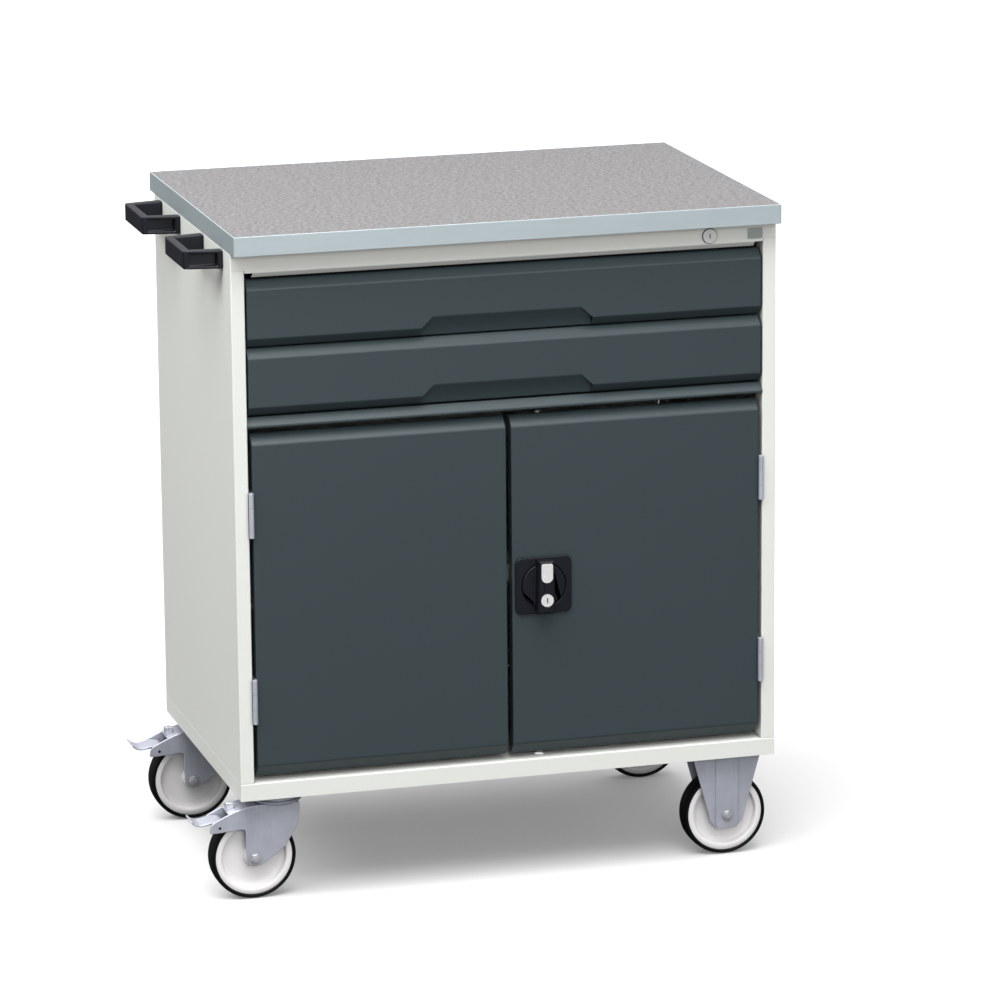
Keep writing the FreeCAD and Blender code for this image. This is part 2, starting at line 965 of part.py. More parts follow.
def knuckle(name, x, low, high):
    """One barrel of a hinge, bored for the pin."""
    barrel = cylinder(name + "_barrel", "z", drive.knuckle_radius, high - low, (x, hinge_y, low))
    bore = cylinder(name + "_bore", "z", drive.hinge_pin_radius + drive.running_gap,
                    high - low + drive.spare * 2, (x, hinge_y, low - drive.spare))
    return barrel, bore


def hinge_leaf(name, side, centre, owner):
    """A leaf with its knuckles. The frame's leaf has the two end knuckles, the door's the middle."""
    x = hinge_xs[side]
    half = drive.hinge_length / 2
    share = drive.hinge_length / 3
    gap = drive.knuckle_gap
    steel = drive.hinge_steel
    outward = (owner == "frame") == (side == "left")
    if outward:
        x_low = x - drive.door_side_gap / 2
    else:
        x_low = x + drive.door_side_gap / 2 - steel
    spans = [
        (centre - half, centre - half + share - gap),
        (centre + half - share + gap, centre + half),
    ]
    if owner == "door":
        spans = [(centre - half + share, centre + half - share)]
    leaf_start = hinge_y + drive.knuckle_radius + gap
    shapes = [box(name + "_plate", (x_low, leaf_start, centre - half),
                  (x_low + steel, hinge_y + drive.hinge_leaf, centre + half))]
    bores = []
    for number, (low, high) in enumerate(spans):
        barrel, bore = knuckle("%s_%d" % (name, number), x, low, high)
        neck = box("%s_neck_%d" % (name, number), (x_low, hinge_y, low),
                   (x_low + steel, leaf_start + drive.join, high))
        shapes += [barrel, neck]
        bores.append(bore)
    return cut(name, fuse(name, *shapes), *bores)


def make_hinges():
    frame_leaves = []
    pins = []
    for side in ("left", "right"):
        door_leaves = []
        for number, centre in enumerate(hinge_centres):
            tag = "%s_%d" % (side, number)
            frame_leaves.append(hinge_leaf("frame_leaf_" + tag, side, centre, "frame"))
            door_leaves.append(hinge_leaf("door_leaf_" + tag, side, centre, "door"))
            pins.append(cylinder("hinge_pin_" + tag, "z", drive.hinge_pin_radius,
                                 drive.hinge_length,
                                 (hinge_xs[side], hinge_y, centre - drive.hinge_length / 2)))
        name = "door_%s_hinge_leaves" % side
        node(group(name, door_leaves), name)
    node(group("hinge_frame_leaves", frame_leaves), "hinge_frame_leaves")
    node(group("hinge_pins", pins), "hinge_pins")


# --- door handle and rods --------------------------------------------------------------------

def cut_keyway(plug, width, length, depth):
    """The upright slot that a key goes into."""
    slot = new_sketch(plug, "XZ", drive.spare)
    rectangle(slot, -width / 2, -length / 2, width / 2, length / 2)
    pocket(plug, slot, depth + drive.spare)


def make_door_handle():
    """The square housing, the turning grip with its insert and key plug, and the cam behind."""
    half = drive.housing_width / 2
    thick = drive.housing_thickness
    gap = drive.part_gap
    spare = drive.spare
    body = new_body("handle_housing", handle_x, face - thick, handle_z)
    plate = new_sketch(body, "XZ")
    rectangle(plate, -half, -half, half, half)
    block = pad(body, plate, thick)
    round_edges(body, block, drive.housing_corner, "y")
    recess = new_sketch(body, "XZ", spare)
    circle(recess, zero, zero, drive.recess_radius)
    pocket(body, recess, drive.recess_depth + spare)
    bore = new_sketch(body, "XZ", spare)
    circle(bore, zero, zero, drive.spindle_radius + drive.running_gap)
    pocket(body, bore, thick + spare * 2)
    node(body, "handle_housing")

    grip_y = face - thick - gap - drive.grip_bar_height
    grip = new_body("turn_grip", handle_x, grip_y, handle_z)
    bar = new_sketch(grip, "XZ")
    half_wide = drive.grip_bar_width / 2
    half_long = drive.grip_bar_length / 2
    outline(bar, [
        (-half_wide, -half_long),
        (half_wide, -half_long),
        (half_wide - drive.grip_bar_taper, half_long),
        (drive.grip_bar_taper - half_wide, half_long),
    ])
    bar_pad = pad(grip, bar, drive.grip_bar_height)
    round_edges(grip, bar_pad, drive.grip_bar_round, wanted=on_front)
    disc = new_sketch(grip, "XZ", gap - drive.grip_bar_height)
    circle(disc, zero, zero, drive.grip_disc_radius)
    pad(grip, disc, drive.recess_depth + gap)
    key_bore = new_sketch(grip, "XZ", spare)
    circle(key_bore, zero, -drive.key_drop, drive.key_radius + drive.running_gap)
    pocket(grip, key_bore, drive.key_depth + spare)
    node(grip, "turn_grip")

    insert = new_body("handle_insert", handle_x, grip_y - drive.insert_thickness,
                      handle_z + drive.insert_rise)
    shape = new_sketch(insert, "XZ")
    rectangle(shape, -drive.insert_width / 2, -drive.insert_length / 2,
              drive.insert_width / 2, drive.insert_length / 2)
    slab = pad(insert, shape, drive.insert_thickness)
    foot = round_edges(insert, slab, drive.insert_foot_corner, "y", lambda spot: spot.z < 0)
    above_foot = drive.insert_length.value / 2 - drive.insert_foot_corner.value
    round_edges(insert, foot, drive.insert_head_corner, "y", lambda spot: spot.z > above_foot)
    node(insert, "handle_insert")

    key_profile = [
        (zero, zero),
        (zero, drive.key_radius),
        (drive.key_depth, drive.key_radius),
        (drive.key_depth, zero),
    ]
    plug = turned("key_plug", key_profile, handle_x, grip_y - drive.key_head,
                  handle_z - drive.key_drop)
    cut_keyway(plug, drive.keyway_width, drive.keyway_length, drive.keyway_depth)
    node(plug, "key_plug")

    start = grip_y + drive.grip_bar_height + drive.recess_depth
    cam_back = rod_y + drive.cam_thickness / 2 - start
    cam_front = cam_back - drive.cam_thickness
    cam_profile = [
        (zero, zero),
        (zero, drive.spindle_radius),
        (cam_front, drive.spindle_radius),
        (cam_front, drive.cam_radius),
        (cam_back, drive.cam_radius),
        (cam_back, zero),
    ]
    node(turned("handle_cam", cam_profile, handle_x, start, handle_z), "handle_cam")


def make_rods():
    """Two locking rods beside the cam, and the guides that carry them on the door's liner."""
    inner = drive.cam_radius + drive.rod_end_gap
    upper_low = handle_z + inner
    upper_high = door_top + drive.rod_reach
    lower_low = door_bottom - drive.rod_reach
    lower_high = handle_z - inner
    radius = drive.rod_radius
    node(cylinder("rod_up", "z", radius, upper_high - upper_low, (handle_x, rod_y, upper_low)),
         "upper_rod")
    node(cylinder("rod_down", "z", radius, lower_high - lower_low, (handle_x, rod_y, lower_low)),
         "lower_rod")
    guides = []
    half = radius + drive.guide_wall
    liner_back = face + drive.door_fold + drive.liner_steel
    from_end = drive.guide_from_end
    for number, low in enumerate((upper_high - from_end - drive.guide_height, lower_low + from_end)):
        block = box("guide_%d" % number, (handle_x - half, liner_back, low),
                    (handle_x + half, rod_y + half, low + drive.guide_height))
        bore = cylinder("guide_bore_%d" % number, "z", radius + drive.running_gap,
                        drive.guide_height + drive.spare * 2, (handle_x, rod_y, low - drive.spare))
        guides.append(cut("guide_%d" % number, block, bore))
    node(group("rod_guides", guides), "rod_guides")


# --- fascia lock and nameplate ---------------------------------------------------------------

def make_fascia_lock():
    """The lock barrel in the fascia, and its plug with the cam that drops into the top drawer."""
    x = right - drive.lock_from_right
    z = body_top - drive.lock_drop
    bore = drive.lock_plug_radius + drive.running_gap
    length = drive.lock_body_length
    barrel_profile = [
        (zero, bore),
        (zero, drive.lock_head_radius),
        (drive.lock_head, drive.lock_head_radius),
        (drive.lock_head, drive.lock_body_radius),
        (drive.lock_head + length, drive.lock_body_radius),
        (drive.lock_head + length, bore),
    ]
    head_y = face - drive.lock_head
    node(turned("lock_barrel", barrel_profile, x, head_y, z), "fascia_lock_barrel")
    cam_y = (drive.lock_head + drive.drawer_bevel + drive.lock_slot_setback
             + drive.lock_slot_play)
    plug_profile = [
        (zero, zero),
        (zero, drive.lock_plug_radius),
        (cam_y + drive.join, drive.lock_plug_radius),
        (cam_y + drive.join, zero),
    ]
    plug = turned("lock_plug", plug_profile, x, head_y, z)
    cam = new_sketch(plug, "XZ", -cam_y)
    half = drive.lock_cam_width / 2
    rectangle(cam, -half, -half, drive.lock_cam_length, half)
    pad(plug, cam, drive.lock_cam_thickness)
    cut_keyway(plug, drive.lock_keyway_width, drive.lock_keyway_length, drive.lock_keyway_depth)
    node(plug, "fascia_lock_plug")


def make_nameplate():
    wide = drive.nameplate_width
    high = drive.nameplate_height
    body = new_body("nameplate", right - drive.nameplate_from_right - wide,
                    face - drive.nameplate_thickness, body_top - drive.lock_drop - high / 2)
    sketch = new_sketch(body, "XZ")
    rectangle(sketch, zero, zero, wide, high)
    slab = pad(body, sketch, drive.nameplate_thickness)
    round_edges(body, slab, drive.nameplate_corner, "y")
    node(body, "nameplate")


# --- push handles ----------------------------------------------------------------------------

def make_push_handle(name, centre_y):
    """A moulded bow handle: an outer bar on two splayed arms with a pocket in each arm."""
    reach = drive.push_reach
    foot = drive.push_foot_span / 2
    bar = drive.push_bar_span / 2
    thick = drive.push_bar
    high = drive.push_height
    rim = drive.push_pocket_rim
    body = new_body(name, left, front + centre_y, body_top - drive.push_drop - high)
    plan = new_sketch(body, "XY")
    outline(plan, [
        (zero, -foot),
        (-reach, -bar),
        (-reach, bar),
        (zero, foot),
        (zero, foot - drive.push_arm_foot),
        (thick - reach, bar - thick),
        (thick - reach, thick - bar),
        (zero, drive.push_arm_foot - foot),
    ])
    pad(body, plan, high)
    side_rim = drive.push_pocket_side_rim
    pocket_floor = bar - drive.push_pocket_floor
    for start in (-foot - drive.spare, pocket_floor):
        dish = new_sketch(body, "XZ", -start)
        rectangle(dish, side_rim - reach, rim, -side_rim, high - rim)
        pocket(body, dish, foot + drive.spare - pocket_floor)
    node(body, name)


# --- casters ---------------------------------------------------------------------------------

caster_ys = {
    "front": front + drive.caster_from_front,
    "rear": back - drive.caster_from_back,
}
swivel_x = left + drive.swivel_from_left
fixed_x = right - drive.fixed_from_right


def make_wheel(place_name, x, y):
    """A rim with a recessed disc and a hub, and its tyre."""
    rim_radius = wheel_radius - drive.tyre_height
    half = drive.rim_half_width
    disc = drive.disc_half_width
    hub = drive.hub_half_width
    inner = rim_radius - drive.rim_ring
    bore = drive.axle_radius + drive.running_gap
    outer_half = [
        (hub, bore),
        (hub, drive.hub_radius),
        (disc, drive.hub_radius + drive.hub_slope),
        (disc, inner - drive.rim_ring_slope),
        (half, inner),
        (half, rim_radius),
    ]
    rim_profile = outer_half + [(-y_part, radius) for y_part, radius in reversed(outer_half)]
    node(turned("rim_" + place_name, rim_profile, x, y, axle_z), "wheel_rim_" + place_name)
    tread_half = [
        (half, rim_radius),
        (half + drive.tyre_bulge, rim_radius + drive.tyre_bulge),
        (half, wheel_radius - drive.tyre_crown),
        (half - drive.tyre_shoulder, wheel_radius),
    ]
    tyre_profile = tread_half + [(-y_part, radius) for y_part, radius in reversed(tread_half)]
    node(turned("tyre_" + place_name, tyre_profile, x, y, axle_z), "wheel_tyre_" + place_name)


def axle(name, x, y, rib):
    """An axle bolt across a fork, with a head at each end."""
    outside = drive.fork_half_gap + drive.caster_steel + rib
    head_end = outside + drive.axle_head
    half = [
        (head_end, zero),
        (head_end, drive.axle_head_face),
        (head_end - drive.axle_head_chamfer, drive.axle_head_radius),
        (outside, drive.axle_head_radius),
        (outside, drive.axle_radius),
    ]
    profile = half + [(-y_part, radius) for y_part, radius in reversed(half)]
    return turned(name, profile, x, y, axle_z)


def bolt_spots(x, y):
    """The four bolt places of a caster plate whose middle is at x, y."""
    return [(x + drive.bolt_spacing_length * along, y + drive.bolt_spacing_width * across)
            for along in (-0.5, 0.5) for across in (-0.5, 0.5)]


def make_plate(body):
    """The rectangular plate that a caster is bolted on by."""
    half_long = drive.caster_plate_length / 2
    half_wide = drive.caster_plate_width / 2
    flange = new_sketch(body, "XY", plate_bottom)
    rectangle(flange, -half_long, -half_wide, half_long, half_wide)
    pad(body, flange, drive.caster_plate_thickness)
    for spot in bolt_spots(zero, zero):
        hole = new_sketch(body, "XY", plate_bottom - drive.spare)
        circle(hole, *spot, drive.bolt_radius + drive.bolt_hole_gap)
        pocket(body, hole, drive.caster_plate_thickness + drive.spare * 2)


def make_king_pin(plate):
    """The fixed ball race under the plate, with the pin that holds the fork from below."""
    hood_bottom = hood_top - drive.caster_steel - drive.part_gap
    race_bottom = hood_top + drive.head_height + drive.part_gap
    race_top = plate_bottom + drive.join
    section = new_sketch(plate, "XZ")
    outline(section, [
        (zero, race_top),
        (drive.race_radius, race_top),
        (drive.race_radius, race_bottom),
        (drive.axle_radius, race_bottom),
        (drive.axle_radius, hood_bottom),
        (drive.king_pin_head, hood_bottom),
        (drive.king_pin_head, hood_bottom - drive.king_pin_head_height),
        (zero, hood_bottom - drive.king_pin_head_height),
    ])
    revolve(plate, section, "V_Axis")


def make_swivel_fork(name, y):
    """A pressed fork: two cheeks under a bent hood, with an arm out to the pedal and a head."""
    steel = drive.caster_steel
    gap = drive.fork_half_gap
    trail = drive.swivel_trail
    hood = hood_top
    arm = -pedal_pivot_trail
    foot = -trail
    fork = new_body("fork_" + name, swivel_x, y, zero)
    # The hood's bends, as places along X from the pedal's pivot and drops from the hood's top.
    hood_end = (arm + drive.hood_end, hood)
    hood_bend = (arm + drive.hood_bend, hood - drive.hood_bend_drop)
    hood_tip = (arm + drive.hood_tip, hood - drive.hood_tip_drop)
    side_outline = [
        (drive.cheek_front, hood),
        (drive.cheek_front, hood - drive.cheek_drop),
        (drive.cheek_knee, hood - drive.cheek_knee_drop),
        (drive.cheek_waist, axle_z + drive.cheek_boss_rise),
        (foot + drive.cheek_notch, axle_z + drive.cheek_notch_rise),
        (foot + drive.cheek_foot_half_width, axle_z - drive.cheek_foot_drop),
        (foot - drive.cheek_foot_half_width, axle_z - drive.cheek_foot_drop),
        (foot - drive.cheek_rear, axle_z - drive.cheek_rear_drop),
        (foot - drive.cheek_rear, hood - drive.arm_drop),
        (foot - drive.cheek_rear - drive.arm_inset, hood - drive.arm_drop + drive.arm_rise),
        (arm - drive.arm_nose, hood - drive.arm_nose_drop),
        (arm - drive.arm_lip, hood - drive.arm_lip_drop),
        (arm - drive.arm_shoulder, hood - drive.arm_shoulder_drop),
        hood_bend,
        hood_end,
    ]
    for start in (-gap - steel, gap):
        cheek = new_sketch(fork, "XZ", -start)
        outline(cheek, side_outline)
        pad(fork, cheek, steel)
    roof = new_sketch(fork, "XZ", gap + steel)
    outline(roof, [
        (drive.cheek_front, hood),
        (drive.cheek_front, hood - steel),
        (hood_end[0], hood_end[1] - steel),
        (hood_bend[0], hood_bend[1] - steel),
        (hood_tip[0], hood_tip[1] - steel),
        hood_tip,
        hood_bend,
        hood_end,
    ])
    pad(fork, roof, (gap + steel) * 2)
    head = new_sketch(fork, "XY", hood - drive.join)
    circle(head, zero, zero, drive.head_radius)
    pad(fork, head, drive.head_height + drive.join)
    king_bore = new_sketch(fork, "XY", hood - steel - drive.spare)
    circle(king_bore, zero, zero, drive.axle_radius + drive.running_gap)
    pocket(fork, king_bore, drive.head_height + steel + drive.spare * 2)
    outside = gap + steel + drive.spare
    pin_bore = drive.pedal_pin_radius + drive.running_gap
    for x, z, radius in ((foot, axle_z, drive.axle_radius), (arm, pedal_z, pin_bore)):
        drill = new_sketch(fork, "XZ", outside)
        circle(drill, x, z, radius)
        pocket(fork, drill, outside * 2)
    node(fork, "swivel_fork_" + name)


def make_pedal(name, y):
    """The brake pedal: a bent blade that tips about a pin through the fork's arm."""
    half_wide = drive.fork_half_gap - drive.pedal_side_gap
    half_pin = drive.fork_half_gap + drive.caster_steel
    tip = -drive.pedal_length
    heel = drive.pedal_heel
    boss = drive.pedal_boss
    lip = drive.pedal_lip
    sheet = drive.pedal_sheet
    pedal = new_body("pedal_" + name, swivel_x - pedal_pivot_trail, y, pedal_z)
    blade = new_sketch(pedal, "XZ", half_wide)
    outline(blade, [
        (heel, drive.pedal_heel_rise),
        (heel / 2, -boss),
        (-boss, -boss),
        (tip + lip + sheet, -drive.join),
        (tip + drive.join, lip - sheet),
        (tip, lip),
        (tip + sheet, lip),
        (tip + lip + sheet, sheet),
        (-lip, lip - sheet / 2),
    ])
    pad(pedal, blade, half_wide * 2)
    pin = new_sketch(pedal, "XZ", half_pin)
    circle(pin, zero, zero, drive.pedal_pin_radius)
    pad(pedal, pin, half_pin * 2)
    node(pedal, "brake_pedal_" + name)


def make_swivel_caster(end):
    """A braked swivel caster: fixed plate and king pin, fork, axle, wheel and pedal."""
    name = end + "_left"
    y = caster_ys[end]
    plate = new_body("plate_" + name, swivel_x, y, zero)
    make_plate(plate)
    make_king_pin(plate)
    node(plate, "caster_plate_" + name)
    make_swivel_fork(name, y)
    wheel_x = swivel_x - drive.swivel_trail
    node(axle("axle_" + name, wheel_x, y, zero), "swivel_axle_" + name)
    make_wheel(name, wheel_x, y)
    make_pedal(name, y)


def make_fixed_caster(end):
    """A fixed caster: a bent fork with its top plate, and a wheel. Gives back its axle."""
    name = end + "_right"
    y = caster_ys[end]
    steel = drive.caster_steel
    gap = drive.fork_half_gap
    foot = drive.fixed_foot_half_width
    shoulder = drive.caster_plate_length / 2 - drive.join
    cheek_top = plate_bottom + drive.join
    waist_z = axle_z - drive.fixed_waist_drop
    foot_z = axle_z - drive.fixed_foot_drop
    waist = drive.fixed_waist_half_width
    rib_half = drive.fork_rib_half_width
    fork = new_body("fixed_" + name, fixed_x, y, zero)
    make_plate(fork)
    for start in (-gap - steel, gap):
        cheek = new_sketch(fork, "XZ", -start)
        outline(cheek, [
            (-shoulder, cheek_top),
            (-shoulder, plate_bottom - drive.fixed_cheek_shoulder),
            (-waist, waist_z),
            (-foot, foot_z),
            (foot, foot_z),
            (waist, waist_z),
            (shoulder, plate_bottom - drive.fixed_cheek_shoulder),
            (shoulder, cheek_top),
        ])
        pad(fork, cheek, steel)
    for start in (-gap - steel - drive.fork_rib, gap + steel):
        rib = new_sketch(fork, "XZ", -start)
        outline(rib, [
            (-rib_half, cheek_top),
            (-rib_half, waist_z),
            (-foot, foot_z),
            (foot, foot_z),
            (rib_half, waist_z),
            (rib_half, cheek_top),
        ])
        pad(fork, rib, drive.fork_rib)
    outside = gap + steel + drive.fork_rib + drive.spare
    drill = new_sketch(fork, "XZ", outside)
    circle(drill, zero, axle_z, drive.axle_radius)
    pocket(fork, drill, outside * 2)
    node(fork, "fixed_fork_" + name)
    make_wheel(name, fixed_x, y)
    return axle("axle_" + name, fixed_x, y, drive.fork_rib)


def make_caster_bolts():
    """Sixteen bolts, each in its hole of a caster plate."""
    bolts = []
    for x in (swivel_x, fixed_x):
        for y in caster_ys.values():
            for spot in bolt_spots(x, y):
                name = "bolt_%d" % len(bolts)
                head = cylinder(name + "_head", "z", drive.bolt_head_radius, drive.bolt_head,
                                (*spot, plate_bottom - drive.bolt_head))
                shank = cylinder(name + "_shank", "z", drive.bolt_radius,
                                 drive.caster_plate_thickness + drive.join,
                                 (*spot, plate_bottom - drive.join))
                bolts.append(fuse(name, head, shank))
    node(group("caster_bolts", bolts), "caster_bolts")


# --- build -----------------------------------------------------------------------------------

make_base_pan()
make_side_panel("side_panel_left", False)
make_side_panel("side_panel_right", True)
make_back_panel()
make_top_frame()
make_worktop()
make_divider_rail()
make_shelf()
for drawer_number, drawer_bottom in enumerate(drawer_bottoms, start=1):
    make_drawer_front(drawer_number, drawer_bottom)
    make_slides(drawer_number, drawer_bottom)
    make_drawer_box(drawer_number, drawer_bottom)
for door_side in ("left", "right"):
    make_door(door_side)
make_hinges()
make_door_handle()
make_rods()
make_fascia_lock()
make_nameplate()
make_push_handle("push_handle_front", drive.push_front)
make_push_handle("push_handle_rear", drive.push_rear)
for caster_end in ("front", "rear"):
    make_swivel_caster(caster_end)
node(group("fixed_axles", [make_fixed_caster(end) for end in ("front", "rear")]), "fixed_axles")
make_caster_bolts()
doc.recompute()

for item in doc.Objects:
    if "Invalid" in item.State or "Error" in item.State:
        raise RuntimeError("%s did not build: %s" % (item.Label, item.State))
for item in nodes:
    if item.Shape.isNull() or not item.Shape.isValid() or not item.Shape.Solids:
        raise RuntimeError("%s has no valid solid" % item.Label)

os.makedirs("parts", exist_ok=True)
for item in nodes:
    item.Shape.exportStep("parts/%s.step" % item.Label)
print("%d sub-parts written" % len(nodes))
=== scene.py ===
import bmesh
import bpy
import json
import math
from mathutils import Matrix, Vector


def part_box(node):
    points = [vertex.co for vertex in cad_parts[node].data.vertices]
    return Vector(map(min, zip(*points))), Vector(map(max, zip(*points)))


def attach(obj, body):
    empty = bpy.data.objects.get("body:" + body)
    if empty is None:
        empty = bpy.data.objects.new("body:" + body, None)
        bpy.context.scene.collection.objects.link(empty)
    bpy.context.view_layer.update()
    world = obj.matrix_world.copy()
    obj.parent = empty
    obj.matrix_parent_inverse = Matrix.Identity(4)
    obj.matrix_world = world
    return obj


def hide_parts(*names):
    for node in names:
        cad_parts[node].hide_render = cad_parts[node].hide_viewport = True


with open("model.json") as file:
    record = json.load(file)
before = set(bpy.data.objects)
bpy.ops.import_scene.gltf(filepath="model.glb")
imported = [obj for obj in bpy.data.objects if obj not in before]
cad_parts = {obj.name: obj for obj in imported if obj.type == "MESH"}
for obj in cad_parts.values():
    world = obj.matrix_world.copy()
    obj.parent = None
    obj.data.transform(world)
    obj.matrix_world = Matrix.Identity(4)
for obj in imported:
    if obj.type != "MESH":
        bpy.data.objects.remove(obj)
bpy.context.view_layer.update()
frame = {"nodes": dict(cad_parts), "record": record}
cadNodes = frame["nodes"]
slotOf = {row["node"]: row["material_slot"] for row in frame["record"]["subparts"]}
bodyRows = frame["record"]["behaviour"]["bodies"]
bodyOf = {node: body for body, members in bodyRows.items() for node in members}
mm = 0.001
print("frame loaded:", len(cadNodes), "nodes")


# ---- shader helpers

def addNode(tree, kind, **inputs):
    node = tree.nodes.new(kind)
    for name, value in inputs.items():
        node.inputs[name].default_value = value
    return node


def mathNode(tree, operation, first, second=None, third=None):
    node = tree.nodes.new("ShaderNodeMath")
    node.operation = operation
    for index, value in enumerate((first, second, third)):
        if value is None:
            continue
        if isinstance(value, (int, float)):
            node.inputs[index].default_value = value
        else:
            tree.links.new(value, node.inputs[index])
    return node.outputs[0]


def rampNode(tree, source, span):
    # black below the span, white above it
    node = tree.nodes.new("ShaderNodeValToRGB")
    for element, position, value in zip(node.color_ramp.elements, span, (0.0, 1.0)):
        element.position = position
        element.color = (value, value, value, 1)
    tree.links.new(source, node.inputs["Fac"])
    return node.outputs["Color"]


# a mix node's sockets by their places, because its colour sockets share names with others
mixFactor, mixFirst, mixSecond, mixResult = 0, 6, 7, 2


def mixColor(tree, blendType, factor, first, second):
    node = tree.nodes.new("ShaderNodeMix")
    node.data_type = "RGBA"
    node.blend_type = blendType
    for place, value in ((mixFactor, factor), (mixFirst, first), (mixSecond, second)):
        socket = node.inputs[place]
        if isinstance(value, (int, float)):
            socket.default_value = value
        elif isinstance(value, tuple):
            socket.default_value = (*value[:3], 1)
        else:
            tree.links.new(value, socket)
    return node.outputs[mixResult]


def newGroup(name, inputs, outputs):
    # sockets are (name, kind, default value)
    group = bpy.data.node_groups.new(name, "ShaderNodeTree")
    for socketName, kind, default in inputs:
        socket = group.interface.new_socket(socketName, in_out="INPUT", socket_type=kind)
        socket.default_value = default
    for socketName, kind in outputs:
        group.interface.new_socket(socketName, in_out="OUTPUT", socket_type=kind)
    return group, group.nodes.new("NodeGroupInput"), group.nodes.new("NodeGroupOutput")


def placeGroup(tree, group, **values):
    node = tree.nodes.new("ShaderNodeGroup")
    node.node_tree = group
    for name, value in values.items():
        node.inputs[name].default_value = value
    return node


floatSocket = "NodeSocketFloat"
colorSocket = "NodeSocketColor"
groupSet = {
    # masks run from black to white between two values of their noise
    "grainDetail": 3.0, "cellShare": 0.7, "grainMask": (0.38, 0.66),
    "bevelSamples": 4, "edgeGain": 6.0, "breakupMask": (0.45, 0.62), "toneDetail": 4.0,
    "gapSamples": 4, "lineDetail": 5.0,
}


def makeGrainGroup():
    # fine pitted grain of a powder coat or of moulded plastic, as a height and a mask
    group, source, sink = newGroup(
        "surfaceGrain",
        [("Cell Size", floatSocket, 0.001), ("Softness", floatSocket, 0.5)],
        [("Height", floatSocket), ("Mask", floatSocket)],
    )
    coords = group.nodes.new("ShaderNodeTexCoord")
    scale = mathNode(group, "DIVIDE", 1.0, source.outputs["Cell Size"])
    coarse = group.nodes.new("ShaderNodeTexNoise")
    coarse.inputs["Detail"].default_value = groupSet["grainDetail"]
    fine = group.nodes.new("ShaderNodeTexVoronoi")
    fine.feature = "SMOOTH_F1"
    for texture in (coarse, fine):
        group.links.new(coords.outputs["Object"], texture.inputs["Vector"])
        group.links.new(scale, texture.inputs["Scale"])
    group.links.new(source.outputs["Softness"], fine.inputs["Smoothness"])
    cells = mathNode(group, "MULTIPLY", fine.outputs["Distance"], groupSet["cellShare"])
    height = mathNode(group, "ADD", coarse.outputs["Fac"], cells)
    group.links.new(height, sink.inputs["Height"])
    mask = rampNode(group, coarse.outputs["Fac"], groupSet["grainMask"])
    group.links.new(mask, sink.inputs["Mask"])
    return group


def makeWearGroup():
    # a mask that is white along outer edges, broken up by noise, with an uneven handling tone
    group, source, sink = newGroup(
        "edgeWear",
        [("Edge Width", floatSocket, 0.002), ("Breakup", floatSocket, 120.0),
         ("Tone Scale", floatSocket, 4.0)],
        [("Edge", floatSocket), ("Tone", floatSocket)],
    )
    rounded = group.nodes.new("ShaderNodeBevel")
    rounded.samples = groupSet["bevelSamples"]
    group.links.new(source.outputs["Edge Width"], rounded.inputs["Radius"])
    geometry = group.nodes.new("ShaderNodeNewGeometry")
    dot = group.nodes.new("ShaderNodeVectorMath")
    dot.operation = "DOT_PRODUCT"
    group.links.new(rounded.outputs["Normal"], dot.inputs[0])
    group.links.new(geometry.outputs["Normal"], dot.inputs[1])
    turned = mathNode(group, "SUBTRACT", 1.0, dot.outputs["Value"])
    edge = mathNode(group, "MULTIPLY", turned, groupSet["edgeGain"])
    coords = group.nodes.new("ShaderNodeTexCoord")
    breakup = group.nodes.new("ShaderNodeTexNoise")
    group.links.new(coords.outputs["Object"], breakup.inputs["Vector"])
    group.links.new(source.outputs["Breakup"], breakup.inputs["Scale"])
    broken = rampNode(group, breakup.outputs["Fac"], groupSet["breakupMask"])
    masked = mathNode(group, "MULTIPLY", edge, broken)
    clamped = mathNode(group, "MINIMUM", masked, 1.0)
    group.links.new(clamped, sink.inputs["Edge"])
    tone = group.nodes.new("ShaderNodeTexNoise")
    tone.inputs["Detail"].default_value = groupSet["toneDetail"]
    group.links.new(coords.outputs["Object"], tone.inputs["Vector"])
    group.links.new(source.outputs["Tone Scale"], tone.inputs["Scale"])
    group.links.new(tone.outputs["Fac"], sink.inputs["Tone"])
    return group


def makeCreviceGroup():
    # darkens a colour where two sheets meet or where a gap is narrow
    group, source, sink = newGroup(
        "creviceShade",
        [("Color", colorSocket, (0.5, 0.5, 0.5, 1)), ("Reach", floatSocket, 0.006),
         ("Amount", floatSocket, 0.5)],
        [("Color", colorSocket)],
    )
    gap = group.nodes.new("ShaderNodeAmbientOcclusion")
    gap.samples = groupSet["gapSamples"]
    group.links.new(source.outputs["Reach"], gap.inputs["Distance"])
    closed = mathNode(group, "SUBTRACT", 1.0, gap.outputs["AO"])
    shade = mathNode(group, "MULTIPLY", closed, source.outputs["Amount"])
    left = mathNode(group, "SUBTRACT", 1.0, shade)
    shaded = mixColor(group, "MULTIPLY", 1.0, source.outputs["Color"], left)
    group.links.new(shaded, sink.inputs["Color"])
    return group


